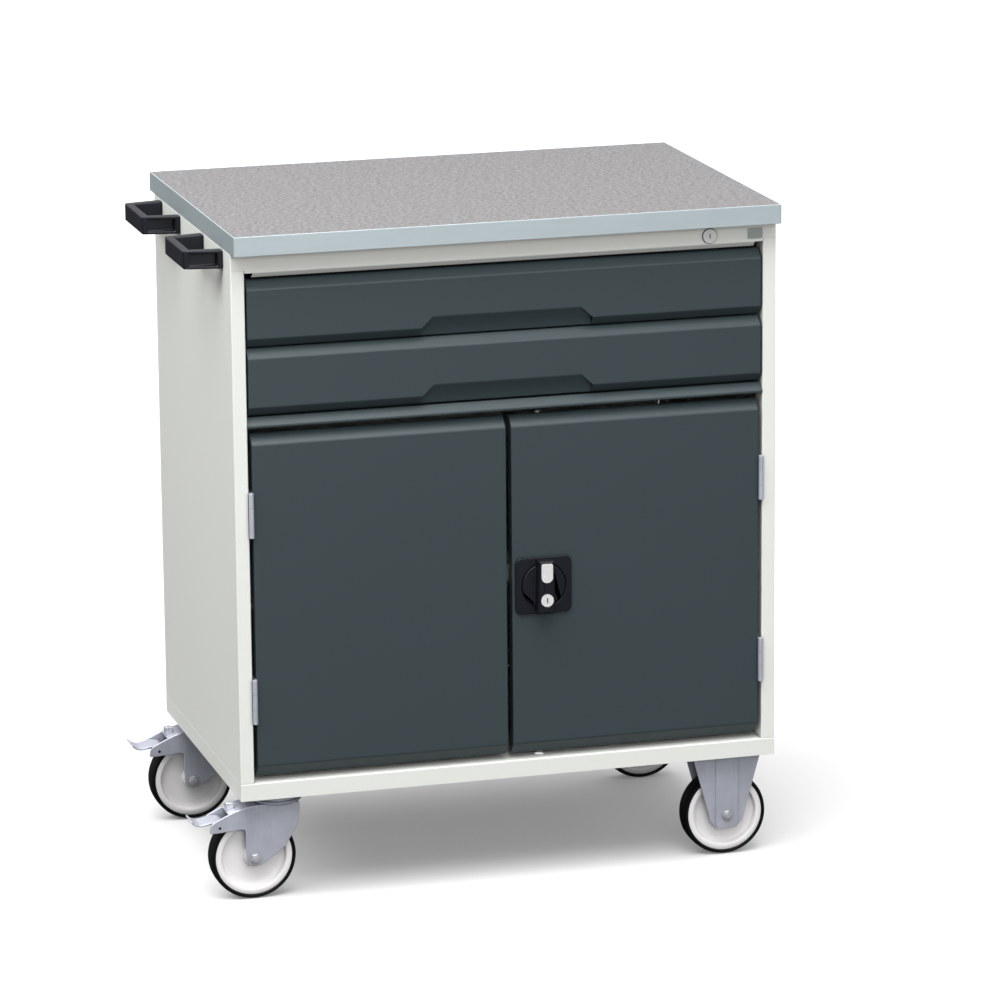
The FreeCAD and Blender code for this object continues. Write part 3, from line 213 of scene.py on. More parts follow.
def makeBrushGroup():
    # long fine scratches along one axis, for plated and rolled metal
    group, source, sink = newGroup(
        "brushLines",
        [("Along X", floatSocket, 1.0), ("Along Y", floatSocket, 1.0),
         ("Along Z", floatSocket, 1.0), ("Line Density", floatSocket, 900.0)],
        [("Lines", floatSocket)],
    )
    coords = group.nodes.new("ShaderNodeTexCoord")
    stretch = group.nodes.new("ShaderNodeCombineXYZ")
    for axis in "XYZ":
        group.links.new(source.outputs["Along " + axis], stretch.inputs[axis])
    scaled = group.nodes.new("ShaderNodeVectorMath")
    scaled.operation = "MULTIPLY"
    group.links.new(coords.outputs["Object"], scaled.inputs[0])
    group.links.new(stretch.outputs["Vector"], scaled.inputs[1])
    lines = group.nodes.new("ShaderNodeTexNoise")
    lines.inputs["Detail"].default_value = groupSet["lineDetail"]
    group.links.new(scaled.outputs["Vector"], lines.inputs["Vector"])
    group.links.new(source.outputs["Line Density"], lines.inputs["Scale"])
    group.links.new(lines.outputs["Fac"], sink.inputs["Lines"])
    return group


grainGroup = makeGrainGroup()
wearGroup = makeWearGroup()
creviceGroup = makeCreviceGroup()
brushGroup = makeBrushGroup()


def newMaterial(name, **values):
    material = bpy.data.materials.new(name)
    material.use_nodes = True
    tree = material.node_tree
    shader = tree.nodes["Principled BSDF"]
    for socket, value in values.items():
        shader.inputs[socket.replace("_", " ")].default_value = value
    return material, tree, shader


def addBump(tree, shader, height, distance):
    bump = addNode(tree, "ShaderNodeBump", Strength=1.0, Distance=distance)
    tree.links.new(height, bump.inputs["Height"])
    tree.links.new(bump.outputs["Normal"], shader.inputs["Normal"])


def driftTones(settings):
    # the darkest and the lightest tone that a colour drifts to
    color, drift = settings["color"], settings["drift"]
    dark = tuple(part * (1 - drift) for part in color)
    light = tuple(min(1, part * (1 + drift)) for part in color)
    return dark, light


def shadeGaps(tree, shader, settings, color):
    crevice = placeGroup(tree, creviceGroup, Reach=settings["gapReach"],
                         Amount=settings["gapShade"])
    tree.links.new(color, crevice.inputs["Color"])
    tree.links.new(crevice.outputs["Color"], shader.inputs["Base Color"])


paintSet = {"softness": 0.8, "breakup": 160.0, "roughSpread": 0.08}


def paintMaterial(name, settings):
    # powder coat, plastic or rubber: fine grain, slow tone drift and slightly polished edges
    material, tree, shader = newMaterial(name, Specular_IOR_Level=settings["specular"])
    grain = placeGroup(tree, grainGroup, **{"Cell Size": settings["grainSize"],
                                            "Softness": paintSet["softness"]})
    wear = placeGroup(tree, wearGroup, **{"Edge Width": settings["edgeWidth"],
                                          "Breakup": paintSet["breakup"],
                                          "Tone Scale": settings["toneScale"]})
    toned = mixColor(tree, "MIX", wear.outputs["Tone"], *driftTones(settings))
    speckled = mixColor(tree, "MULTIPLY", settings["speckle"], toned, grain.outputs["Mask"])
    edge = mathNode(tree, "MULTIPLY", wear.outputs["Edge"], settings["edgeAmount"])
    shadeGaps(tree, shader, settings, mixColor(tree, "MIX", edge, speckled, settings["edgeColor"]))
    spread = mathNode(tree, "MULTIPLY_ADD", grain.outputs["Mask"], paintSet["roughSpread"],
                      settings["roughness"] - paintSet["roughSpread"] / 2)
    tree.links.new(mathNode(tree, "SUBTRACT", spread, edge), shader.inputs["Roughness"])
    addBump(tree, shader, grain.outputs["Height"], settings["grainDepth"])
    return material


metalSet = {"edgeWidth": 0.0015, "breakup": 90.0, "toneMask": (0.35, 0.65), "edgeGain": 1.25,
            "roughSpread": 0.2}


def metalMaterial(name, settings):
    # plated or rolled metal: directional lines, cloudy tone, brighter edges
    material, tree, shader = newMaterial(name, Metallic=settings["metallic"])
    along = settings["along"]
    lines = placeGroup(tree, brushGroup, **{"Along X": along[0], "Along Y": along[1],
                                            "Along Z": along[2],
                                            "Line Density": settings["density"]})
    wear = placeGroup(tree, wearGroup, **{"Edge Width": metalSet["edgeWidth"],
                                          "Breakup": metalSet["breakup"],
                                          "Tone Scale": settings["toneScale"]})
    cloud = rampNode(tree, wear.outputs["Tone"], metalSet["toneMask"])
    toned = mixColor(tree, "MIX", cloud, *driftTones(settings))
    lined = mixColor(tree, "OVERLAY", settings["lineTint"], toned, lines.outputs["Lines"])
    edge = mathNode(tree, "MULTIPLY", wear.outputs["Edge"], settings["edgeAmount"])
    bright = tuple(min(1, part * metalSet["edgeGain"]) for part in settings["color"])
    shadeGaps(tree, shader, settings, mixColor(tree, "MIX", edge, lined, bright))
    rough = mathNode(tree, "MULTIPLY_ADD", lines.outputs["Lines"], metalSet["roughSpread"],
                     settings["roughness"] - metalSet["roughSpread"] / 2)
    tree.links.new(rough, shader.inputs["Roughness"])
    addBump(tree, shader, lines.outputs["Lines"], settings["lineDepth"])
    return material


def linoMaterial(name, settings):
    # linoleum: short matted fibres in several greys over a cloudy ground, and a soft sheen
    material, tree, shader = newMaterial(name, Specular_IOR_Level=settings["specular"])
    coords = tree.nodes.new("ShaderNodeTexCoord")
    ground = addNode(tree, "ShaderNodeTexNoise", Scale=settings["cloudScale"],
                     Detail=settings["cloudDetail"])
    tree.links.new(coords.outputs["Object"], ground.inputs["Vector"])
    cloud = rampNode(tree, ground.outputs["Fac"], settings["cloudMask"])
    color = mixColor(tree, "MIX", cloud, settings["dark"], settings["light"])
    height = None
    for turn, stretch, tint, amount in settings["fibres"]:
        placed = addNode(tree, "ShaderNodeMapping")
        placed.inputs["Rotation"].default_value = (0, 0, math.radians(turn))
        placed.inputs["Scale"].default_value = stretch
        warp = addNode(tree, "ShaderNodeTexNoise", Scale=settings["warpScale"],
                       Detail=settings["warpDetail"])
        tree.links.new(coords.outputs["Object"], warp.inputs["Vector"])
        moved = tree.nodes.new("ShaderNodeVectorMath")
        moved.operation = "MULTIPLY_ADD"
        tree.links.new(warp.outputs["Color"], moved.inputs[0])
        moved.inputs[1].default_value = (settings["curl"], settings["curl"], 0)
        tree.links.new(coords.outputs["Object"], moved.inputs[2])
        tree.links.new(moved.outputs["Vector"], placed.inputs["Vector"])
        streaks = addNode(tree, "ShaderNodeTexNoise", Scale=1.0, Detail=settings["fibreDetail"],
                          Roughness=settings["fibreRoughness"])
        tree.links.new(placed.outputs["Vector"], streaks.inputs["Vector"])
        mask = rampNode(tree, streaks.outputs["Fac"], settings["fibreMask"])
        color = mixColor(tree, "MIX", mathNode(tree, "MULTIPLY", mask, amount), color, tint)
        height = mask if height is None else mathNode(tree, "ADD", height, mask)
    tree.links.new(color, shader.inputs["Base Color"])
    rough = mathNode(tree, "MULTIPLY_ADD", height, -settings["fibreSheen"], settings["roughness"])
    tree.links.new(rough, shader.inputs["Roughness"])
    addBump(tree, shader, height, settings["reliefDepth"])
    return material


def plyMaterial(name, settings):
    # bonded board: thin veneer layers stacked along Z, with grain along X
    material, tree, shader = newMaterial(name, Roughness=settings["roughness"])
    coords = tree.nodes.new("ShaderNodeTexCoord")
    split = tree.nodes.new("ShaderNodeSeparateXYZ")
    tree.links.new(coords.outputs["Object"], split.inputs["Vector"])
    turns = mathNode(tree, "MULTIPLY", split.outputs["Z"], math.tau / settings["layer"])
    layers = mathNode(tree, "SINE", turns)
    positive = mathNode(tree, "MULTIPLY_ADD", layers, 0.5, 0.5)
    banded = rampNode(tree, positive, settings["layerMask"])
    placed = addNode(tree, "ShaderNodeMapping", Scale=settings["grainStretch"])
    tree.links.new(coords.outputs["Object"], placed.inputs["Vector"])
    grain = addNode(tree, "ShaderNodeTexNoise", Scale=settings["grainScale"],
                    Detail=settings["grainDetail"])
    tree.links.new(placed.outputs["Vector"], grain.inputs["Vector"])
    base = mixColor(tree, "MIX", banded, settings["dark"], settings["light"])
    grained = mixColor(tree, "OVERLAY", settings["grainTint"], base, grain.outputs["Fac"])
    tree.links.new(grained, shader.inputs["Base Color"])
    addBump(tree, shader, grain.outputs["Fac"], settings["grainDepth"])
    return material


print("shader groups ready")

# ---- finishes, one per material slot

whitePaint = {
    "color": (0.76, 0.775, 0.735), "roughness": 0.46, "specular": 0.42, "grainSize": 0.0011,
    "grainDepth": 0.00003, "speckle": 0.02, "drift": 0.015, "toneScale": 3.0,
    "edgeWidth": 0.0018, "edgeAmount": 0.10, "edgeColor": (0.90, 0.91, 0.88),
    "gapReach": 0.006, "gapShade": 0.8,
}
darkPaint = {
    "color": (0.038, 0.055, 0.061), "roughness": 0.42, "specular": 0.36, "grainSize": 0.0010,
    "grainDepth": 0.00003, "speckle": 0.06, "drift": 0.05, "toneScale": 2.5,
    "edgeWidth": 0.0018, "edgeAmount": 0.16, "edgeColor": (0.16, 0.19, 0.20),
    "gapReach": 0.007, "gapShade": 0.6,
}
boxPaint = dict(darkPaint, color=(0.26, 0.28, 0.29), edgeColor=(0.36, 0.38, 0.39))
edgingFinish = {
    "color": (0.50, 0.575, 0.60), "metallic": 0.4, "roughness": 0.34, "along": (0.02, 0.02, 1.0),
    "density": 700.0, "toneScale": 5.0, "drift": 0.03, "lineTint": 0.06, "lineDepth": 0.000006,
    "edgeAmount": 0.35, "gapReach": 0.004, "gapShade": 0.4,
}
zincFinish = {
    "color": (0.53, 0.55, 0.63), "metallic": 0.45, "roughness": 0.38, "along": (1.0, 1.0, 0.12),
    "density": 260.0, "toneScale": 22.0, "drift": 0.07, "lineTint": 0.10, "lineDepth": 0.00001,
    "edgeAmount": 0.6, "gapReach": 0.005, "gapShade": 0.5,
}
boltFinish = dict(zincFinish, color=(0.60, 0.61, 0.66), metallic=0.5, roughness=0.30)
lockFinish = {
    "color": (0.92, 0.92, 0.91), "metallic": 0.35, "roughness": 0.24, "along": (1.0, 0.1, 1.0),
    "density": 900.0, "toneScale": 60.0, "drift": 0.03, "lineTint": 0.05, "lineDepth": 0.000004,
    "edgeAmount": 0.4, "gapReach": 0.003, "gapShade": 0.5,
}
plateFinish = dict(lockFinish, color=(0.42, 0.47, 0.45), metallic=0.8, roughness=0.38)
blackPlastic = {
    "color": (0.006, 0.007, 0.012), "roughness": 0.38, "specular": 0.32, "grainSize": 0.0007,
    "grainDepth": 0.00004, "speckle": 0.10, "drift": 0.10, "toneScale": 9.0,
    "edgeWidth": 0.0012, "edgeAmount": 0.30, "edgeColor": (0.075, 0.078, 0.095),
    "gapReach": 0.007, "gapShade": 0.6,
}
rimPlastic = {
    "color": (0.88, 0.865, 0.87), "roughness": 0.40, "specular": 0.5, "grainSize": 0.0009,
    "grainDepth": 0.00002, "speckle": 0.02, "drift": 0.02, "toneScale": 12.0,
    "edgeWidth": 0.0012, "edgeAmount": 0.25, "edgeColor": (0.92, 0.92, 0.92),
    "gapReach": 0.022, "gapShade": 0.42,
}
tyreRubber = {
    "color": (0.003, 0.003, 0.0032), "roughness": 0.55, "specular": 0.12, "grainSize": 0.0008,
    "grainDepth": 0.00006, "speckle": 0.2, "drift": 0.2, "toneScale": 18.0,
    "edgeWidth": 0.001, "edgeAmount": 0.3, "edgeColor": (0.012, 0.012, 0.013),
    "gapReach": 0.007, "gapShade": 0.6,
}
linoFinish = {
    "dark": (0.140, 0.135, 0.138), "light": (0.165, 0.159, 0.162), "cloudScale": 120.0,
    "cloudDetail": 3.0, "cloudMask": (0.35, 0.65), "roughness": 0.60, "specular": 0.32,
    "reliefDepth": 0.00003, "curl": 0.003, "warpScale": 260.0, "warpDetail": 2.0,
    "fibreDetail": 4.0, "fibreRoughness": 0.62, "fibreMask": (0.50, 0.60), "fibreSheen": 0.05,
    "fibres": [
        # turn in degrees, how closely the fibres lie along and across, colour and amount
        (20, (150, 470, 1), (0.34, 0.332, 0.336), 0.75),
        (-50, (160, 500, 1), (0.060, 0.056, 0.058), 0.75),
        (85, (150, 480, 1), (0.28, 0.272, 0.276), 0.6),
    ],
}
plyFinish = {
    "layer": 0.0028, "layerMask": (0.42, 0.58), "dark": (0.30, 0.19, 0.10),
    "light": (0.62, 0.47, 0.30), "roughness": 0.6, "grainStretch": (6, 160, 160),
    "grainScale": 2.0, "grainDetail": 6.0, "grainTint": 0.6, "grainDepth": 0.0001,
}

materials = {
    "shell_paint": paintMaterial("lightGreyPowderCoat", whitePaint),
    "front_paint": paintMaterial("anthracitePowderCoat", darkPaint),
    "drawer_box_paint": paintMaterial("drawerBoxPaint", boxPaint),
    "edging_metal": metalMaterial("worktopEdging", edgingFinish),
    "board_wood": plyMaterial("bondedBoard", plyFinish),
    "lino": linoMaterial("mottledLino", linoFinish),
    "zinc": metalMaterial("brightZinc", zincFinish),
    "bolt_steel": metalMaterial("platedFasteners", boltFinish),
    "lock_silver": metalMaterial("satinNickel", lockFinish),
    "nameplate_metal": metalMaterial("blankPlate", plateFinish),
    "handle_plastic": paintMaterial("blackMouldedPlastic", blackPlastic),
    "rim_plastic": paintMaterial("offWhiteNylon", rimPlastic),
    "tyre": paintMaterial("treadRubber", tyreRubber),
}
for node, obj in cadNodes.items():
    obj.data.materials.clear()
    obj.data.materials.append(materials[slotOf[node]])
print("finishes ready:", len(materials))


# ---- mesh helpers

meshSet = {
    # points closer than weld are joined, and faces that turn less than flat count as one
    "weld": 0.000004, "turnedWeld": 0.000002, "flat": math.radians(0.6), "tiny": 1e-6,
    # rounding takes at most this share of the room beside an edge that turns more than sharp
    "sheetShare": 0.3, "sheetSharp": math.radians(28),
    "prismShare": 0.4, "prismSharp": math.radians(20), "turnedSharp": math.radians(32),
    "normalWeight": 100,
}


def finishPiece(obj, body, slot):
    obj.data.materials.clear()
    obj.data.materials.append(materials[slot])
    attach(obj, body)
    return obj


def newObject(name, bm):
    mesh = bpy.data.meshes.new(name)
    bm.to_mesh(mesh)
    bm.free()
    obj = bpy.data.objects.new(name, mesh)
    bpy.context.scene.collection.objects.link(obj)
    return obj


def applyModifiers(obj):
    graph = bpy.context.evaluated_depsgraph_get()
    mesh = bpy.data.meshes.new_from_object(obj.evaluated_get(graph))
    obj.modifiers.clear()
    old = obj.data
    obj.data = mesh
    bpy.data.meshes.remove(old)


def roundedBevel(obj, radius, segments):
    bevel = obj.modifiers.new("rounding", "BEVEL")
    bevel.limit_method = "WEIGHT"
    bevel.width = radius
    bevel.segments = segments
    bevel.use_clamp_overlap = False
    evened = obj.modifiers.new("evenNormals", "WEIGHTED_NORMAL")
    evened.weight = meshSet["normalWeight"]
    evened.keep_sharp = True
    for polygon in obj.data.polygons:
        polygon.use_smooth = True
    applyModifiers(obj)


def roomBeside(edge, face):
    # how far the face reaches square to the edge, from its middle to the next edge across
    along = (edge.verts[1].co - edge.verts[0].co).normalized()
    middle = (edge.verts[0].co + edge.verts[1].co) / 2
    loop = next(loop for loop in edge.link_loops if loop.face is face)
    inward = face.normal.cross(loop.link_loop_next.vert.co - loop.vert.co).normalized()
    nearest = 1.0
    for other in face.edges:
        if other is edge:
            continue
        startU, startV, endU, endV = (
            way.dot(vert.co - middle) for vert in other.verts for way in (along, inward))
        if startU * endU > 0 or startU == endU:
            continue
        reach = startV - startU * (endV - startV) / (endU - startU)
        if reach > meshSet["tiny"]:
            nearest = min(nearest, reach)
    return nearest


def weightEdges(bm, radius, share, sharpAngle):
    # full rounding where both faces are wide, less where a sheet's cut edge is thin
    layers = bm.edges.layers.float
    layer = layers.get("bevel_weight_edge") or layers.new("bevel_weight_edge")
    for edge in bm.edges:
        edge[layer] = 0.0
        if len(edge.link_faces) == 2 and edge.calc_face_angle(0.0) > sharpAngle:
            room = min(roomBeside(edge, face) for face in edge.link_faces)
            edge[layer] = min(1.0, share * room / radius)


def mergeFlats(bm, flatAngle):
    # joins the triangles of each flat, longest edges first, so that those left cross it squarely
    inner = [edge for edge in bm.edges
             if len(edge.link_faces) == 2 and edge.calc_face_angle(1.0) < flatAngle]
    inner.sort(key=lambda edge: -edge.calc_length())
    for edge in inner:
        if not edge.is_valid or len(edge.link_faces) != 2:
            continue
        first, second = edge.link_faces
        shared = [other for other in first.edges if second in other.link_faces]
        if first is second or len(shared) != 1:
            continue
        bmesh.utils.face_join((first, second))
    for vert in list(bm.verts):
        if len(vert.link_edges) == 2:
            start, end = (edge.other_vert(vert).co for edge in vert.link_edges)
            if (vert.co - start).angle(end - vert.co, 1.0) < flatAngle:
                bmesh.utils.vert_dissolve(vert)


def roundedCopy(node, radius, segments):
    # the node's own shape with real rounded bends, standing for the node
    bm = bmesh.new()
    bm.from_mesh(cadNodes[node].data)
    bmesh.ops.remove_doubles(bm, verts=bm.verts, dist=meshSet["weld"])
    mergeFlats(bm, meshSet["flat"])
    bm.normal_update()
    weightEdges(bm, radius, meshSet["sheetShare"], meshSet["sheetSharp"])
    obj = newObject(node + "_finished", bm)
    roundedBevel(obj, radius, segments)
    finishPiece(obj, bodyOf[node], slotOf[node])
    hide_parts(node)


def turnedPiece(name, profile, centre, axis, steps, body, slot):
    # a lathe shape about y or z: profile is (along the axis, radius) in metres
    bm = bmesh.new()
    rings = []
    for step in range(steps):
        angle = math.tau * step / steps
        ring = []
        for along, radius in profile:
            across = (radius * math.cos(angle), radius * math.sin(angle))
            if axis == "y":
                spot = (across[0], along, across[1])
            else:
                spot = (across[0], across[1], along)
            ring.append(bm.verts.new(Vector(spot) + Vector(centre)))
        rings.append(ring)
    for step in range(steps):
        here, there = rings[step], rings[(step + 1) % steps]
        for index in range(len(profile) - 1):
            bm.faces.new((here[index], here[index + 1], there[index + 1], there[index]))
    bmesh.ops.remove_doubles(bm, verts=bm.verts, dist=meshSet["turnedWeld"])
    bmesh.ops.recalc_face_normals(bm, faces=bm.faces)
    obj = newObject(name, bm)
    for polygon in obj.data.polygons:
        polygon.use_smooth = True
    obj.data.set_sharp_from_angle(angle=meshSet["turnedSharp"])
    return finishPiece(obj, body, slot)


def prismPiece(name, outline, low, high, axis, body, slot, radius, segments):
    # an outline in the two other axes, thickened from low to high along y or z, edges rounded
    bm = bmesh.new()
    count = len(outline)
    for level in (low, high):
        for u, v in outline:
            bm.verts.new((u, level, v) if axis == "y" else (u, v, level))
    bm.verts.ensure_lookup_table()
    bm.faces.new(bm.verts[:count])
    bm.faces.new(bm.verts[count:])
    for index in range(count):
        nextIndex = (index + 1) % count
        bm.faces.new((bm.verts[index], bm.verts[nextIndex],
                      bm.verts[count + nextIndex], bm.verts[count + index]))
    bmesh.ops.recalc_face_normals(bm, faces=bm.faces)
    weightEdges(bm, radius, meshSet["prismShare"], meshSet["prismSharp"])
    obj = newObject(name, bm)
    roundedBevel(obj, radius, segments)
    return finishPiece(obj, body, slot)


def regularPolygon(sides, radius, centre, turn):
    angles = [turn + math.tau * index / sides for index in range(sides)]
    return [(centre[0] + radius * math.cos(angle), centre[1] + radius * math.sin(angle))
            for angle in angles]


def centreOf(node):
    low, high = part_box(node)
    return (low + high) / 2


# ---- folded sheet metal and other nodes that keep their shape, with rounded bends

roundings = {
    # node: (radius of the bends in metres, steps in each bend)
    "base_pan": (1.6 * mm, 3), "side_panel_left": (1.8 * mm, 3), "side_panel_right": (1.8 * mm, 3),
    "top_frame": (1.6 * mm, 3), "back_panel": (0.3 * mm, 1), "worktop_edging": (0.7 * mm, 3),
    "shelf": (1.4 * mm, 2),
    "drawer_1_front": (1.5 * mm, 4), "drawer_2_front": (1.5 * mm, 4),
    "drawer_1_box": (1.2 * mm, 2), "drawer_2_box": (1.2 * mm, 2),
    "door_left_panel": (1.8 * mm, 4), "door_right_panel": (1.8 * mm, 4),
    "push_handle_front": (2.4 * mm, 4), "push_handle_rear": (2.4 * mm, 4),
    "handle_housing": (1.2 * mm, 3), "turn_grip": (2.2 * mm, 4), "handle_insert": (0.5 * mm, 3),
    "fixed_fork_front_right": (0.9 * mm, 3), "fixed_fork_rear_right": (0.9 * mm, 3),
    "caster_plate_front_left": (0.6 * mm, 2), "caster_plate_rear_left": (0.6 * mm, 2),
    "hinge_frame_leaves": (0.35 * mm, 2), "door_left_hinge_leaves": (0.35 * mm, 2),
    "door_right_hinge_leaves": (0.35 * mm, 2), "nameplate": (0.3 * mm, 2),
}
for node, (radius, steps) in roundings.items():
    roundedCopy(node, radius, steps)
print("rounded pieces:", len(roundings))


# ---- braked casters, with smooth pressed forks, bent pedals and adjusting screws

swivelFork = {
    "inner": 20.0 * mm, "sheet": 3.0 * mm, "trail": 37.0 * mm, "rounding": 0.9 * mm,
    "roofInset": 1.2 * mm, "roofRounding": 0.6 * mm, "dishHeight": 142.0 * mm, "dishSteps": 64,
    # outlines as (along X from the swivel axis, height), in millimetres
    "cheek": [(29, 141.4), (29.6, 132), (29, 122), (26.8, 111), (23.4, 103), (18, 94), (7, 77),
              (-2, 69.6), (-10, 64.6), (-20, 57.2), (-27, 52.8), (-32, 51.4), (-41, 51.4),
              (-46, 54.4), (-49.4, 59.4), (-50.2, 64), (-50.2, 101), (-51, 104.4), (-53, 106.6),
              (-56, 107.4), (-60, 107.2), (-80, 105.2), (-100, 104.2), (-102.6, 105.6),
              (-102.8, 108), (-101.6, 114.5), (-99, 118.6), (-95, 121.4), (-86, 125.8),
              (-76, 130.3), (-66, 134.3), (-56, 137.4), (-45, 139.8), (-36, 141), (-28, 141.4)],
    "roof": [(-75, 130.9), (-66, 134.6), (-56, 137.7), (-45, 140.1), (-36, 141.3), (-28, 141.7),
             (29, 141.7)],
    # the dish under the roof as (height above dishHeight, radius), in millimetres
    "dish": [(-1.0, 6.6), (-1.0, 30.0), (0.2, 33.6), (2.0, 36.2), (3.4, 37.0), (4.4, 37.0),
             (5.0, 36.4), (5.0, 6.6), (-1.0, 6.6)],
}
adjuster = {"side": 12.0 * mm, "along": -69.0 * mm, "low": 131.0 * mm, "high": 143.5 * mm,
            "rounding": 1.6 * mm}
pedalBlade = {
    # upper side of the blade from the heel to the tip, from the pedal's pin, in millimetres
    "line": [(7.5, 3.2), (3, 5.6), (-4, 6.4), (-12, 5.4), (-20, 3.4), (-27, 2.6), (-33, 4.0),
             (-38, 7.0), (-41.4, 11.0)],
    "sheet": 2.6 * mm, "half": 18.0 * mm, "rounding": 0.9 * mm,
    "pinAlong": -88.0 * mm, "pinHeight": 112.0 * mm, "pin": 3.0 * mm, "pinEnd": 2.0 * mm,
    "pinChamfer": 0.8 * mm, "pinSteps": 32,
}


def stripOutline(line, thick):
    # the outline of a bent sheet whose upper side follows a line
    lower = []
    for index, (x, z) in enumerate(line):
        before = line[max(index - 1, 0)]
        after = line[min(index + 1, len(line) - 1)]
        along = Vector((after[0] - before[0], after[1] - before[1])).normalized()
        lower.append((x + along.y * thick, z - along.x * thick))
    return line + lower[::-1]


def evenRod(half):
    # the whole profile of a rod from that of its far half, from the inside out
    return [(-along, radius) for along, radius in reversed(half)] + half


for end in ("front", "rear"):
    fork, pedal = "swivel_fork_" + end + "_left", "brake_pedal_" + end + "_left"
    wheel = centreOf("wheel_rim_" + end + "_left")
    swivelX, middleY = wheel.x + swivelFork["trail"], wheel.y
    inner, sheet = swivelFork["inner"], swivelFork["sheet"]
    outer = inner + sheet
    cheek = [(swivelX + x * mm, z * mm) for x, z in swivelFork["cheek"]]
    for name, low in (("near", middleY - outer), ("far", middleY + inner)):
        piece = prismPiece(fork + "_" + name, cheek, low, low + sheet, "y", bodyOf[fork], "zinc",
                           swivelFork["rounding"], 3)
        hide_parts(fork)
    roof = stripOutline([(swivelX + x * mm, z * mm) for x, z in swivelFork["roof"]], sheet)
    inset = swivelFork["roofInset"]
    prismPiece(fork + "_roof", roof, middleY - outer + inset, middleY + outer - inset, "y",
               bodyOf[fork], "zinc", swivelFork["roofRounding"], 2)
    dish = [(along * mm, radius * mm) for along, radius in swivelFork["dish"]]
    turnedPiece(fork + "_dish", dish, (swivelX, middleY, swivelFork["dishHeight"]), "z",
                swivelFork["dishSteps"], bodyOf[fork], "zinc")
    half = adjuster["side"] / 2
    screwX = swivelX + adjuster["along"]
    corners = [(screwX - half, middleY - half), (screwX + half, middleY - half),
               (screwX + half, middleY + half), (screwX - half, middleY + half)]
    prismPiece(fork + "_adjuster", corners, adjuster["low"], adjuster["high"], "z",
               bodyOf[fork], "bolt_steel", adjuster["rounding"], 3)
    pinX, pinZ = swivelX + pedalBlade["pinAlong"], pedalBlade["pinHeight"]
    line = [(pinX + x * mm, pinZ + z * mm) for x, z in pedalBlade["line"]]
    blade, wide = stripOutline(line, pedalBlade["sheet"]), pedalBlade["half"]
    piece = prismPiece(pedal + "_blade", blade, middleY - wide, middleY + wide, "y",
                       bodyOf[pedal], "zinc", pedalBlade["rounding"], 3)
    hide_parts(pedal)
    rod = evenRod([(outer - pedalBlade["pinChamfer"], pedalBlade["pin"]),
                   (outer, pedalBlade["pinEnd"]), (outer, 0)])
    turnedPiece(pedal + "_pin", rod, (pinX, middleY, pinZ), "y", pedalBlade["pinSteps"],
                bodyOf[pedal], "bolt_steel")
print("braked casters ready")


# ---- wheels: a bright ring round a sunk disc, and a plain black tread

wheelSet = {
    # one half of the section, from the bore outwards, as (along the axle, radius) in millimetres
    "hub": [(19.0, 6.1), (19.0, 11.6), (18.2, 12.6), (8.5, 13.6), (6.4, 14.4), (5.6, 15.5)],
    "disc": [(5.6, 15.5), (5.4, 24), (5.0, 38), (5.2, 43), (6.4, 45.6), (9.5, 46.9),
             (12.8, 47.4), (13.8, 48.0), (14.2, 49.0), (14.2, 55.2), (13.6, 56.2)],
    "tread": [(13.9, 56.2), (15.3, 57.2), (15.9, 58.6), (15.7, 60.0), (14.4, 61.2),
              (11.0, 62.2), (5.0, 62.5)],
    "rimSteps": 96, "tyreSteps": 128,
}
wheelPlaces = ("front_left", "rear_left", "front_right", "rear_right")


def turnedWheel(node, points, centre, steps):
    # a closed section, the same on both sides of the middle plane, standing for the node
    half = [(along * mm, radius * mm) for along, radius in points]
    section = half + [(-along, radius) for along, radius in reversed(half)]
    piece = turnedPiece(node + "_turned", section + section[:1], centre, "y", steps,
                        bodyOf[node], slotOf[node])
    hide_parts(node)


for place in wheelPlaces:
    rim, tyre = "wheel_rim_" + place, "wheel_tyre_" + place
    axle = centreOf(rim)
    turnedWheel(rim, wheelSet["hub"] + wheelSet["disc"], axle, wheelSet["rimSteps"])
    turnedWheel(tyre, wheelSet["tread"], axle, wheelSet["tyreSteps"])
print("wheels ready")


# ---- axles with washers and hex nuts

nutSet = {"radius": 7.4 * mm, "thick": 3.0 * mm, "turn": math.radians(12),
          "rounding": 0.8 * mm, "washer": 8.6 * mm, "washerThick": 0.8 * mm, "steps": 40}
axleSet = {"swivelReach": 23 * mm, "fixedReach": 25 * mm, "shaft": 6.0 * mm, "end": 4.0 * mm,
           "shoulderIn": 0.5 * mm, "tip": 3.6 * mm, "tipLong": 1.0 * mm, "proud": 2.0 * mm,
           "steps": 40}


def hexNut(name, centre, outward, body):
    # a washer and a nut on a threaded end, along Y and pointing outward
    steps = nutSet["washerThick"], nutSet["washerThick"] + nutSet["thick"]
    washer = [(0, 0), (0, nutSet["washer"]), (steps[0] * outward, nutSet["washer"]),
              (steps[0] * outward, 0)]
    turnedPiece(name + "_washer", washer, centre, "y", nutSet["steps"], body, "bolt_steel")
    low, high = sorted((centre[1] + steps[0] * outward, centre[1] + steps[1] * outward))
    outline = regularPolygon(6, nutSet["radius"], (centre[0], centre[2]), nutSet["turn"])
    prismPiece(name + "_nut", outline, low, high, "y", body, "bolt_steel", nutSet["rounding"], 3)


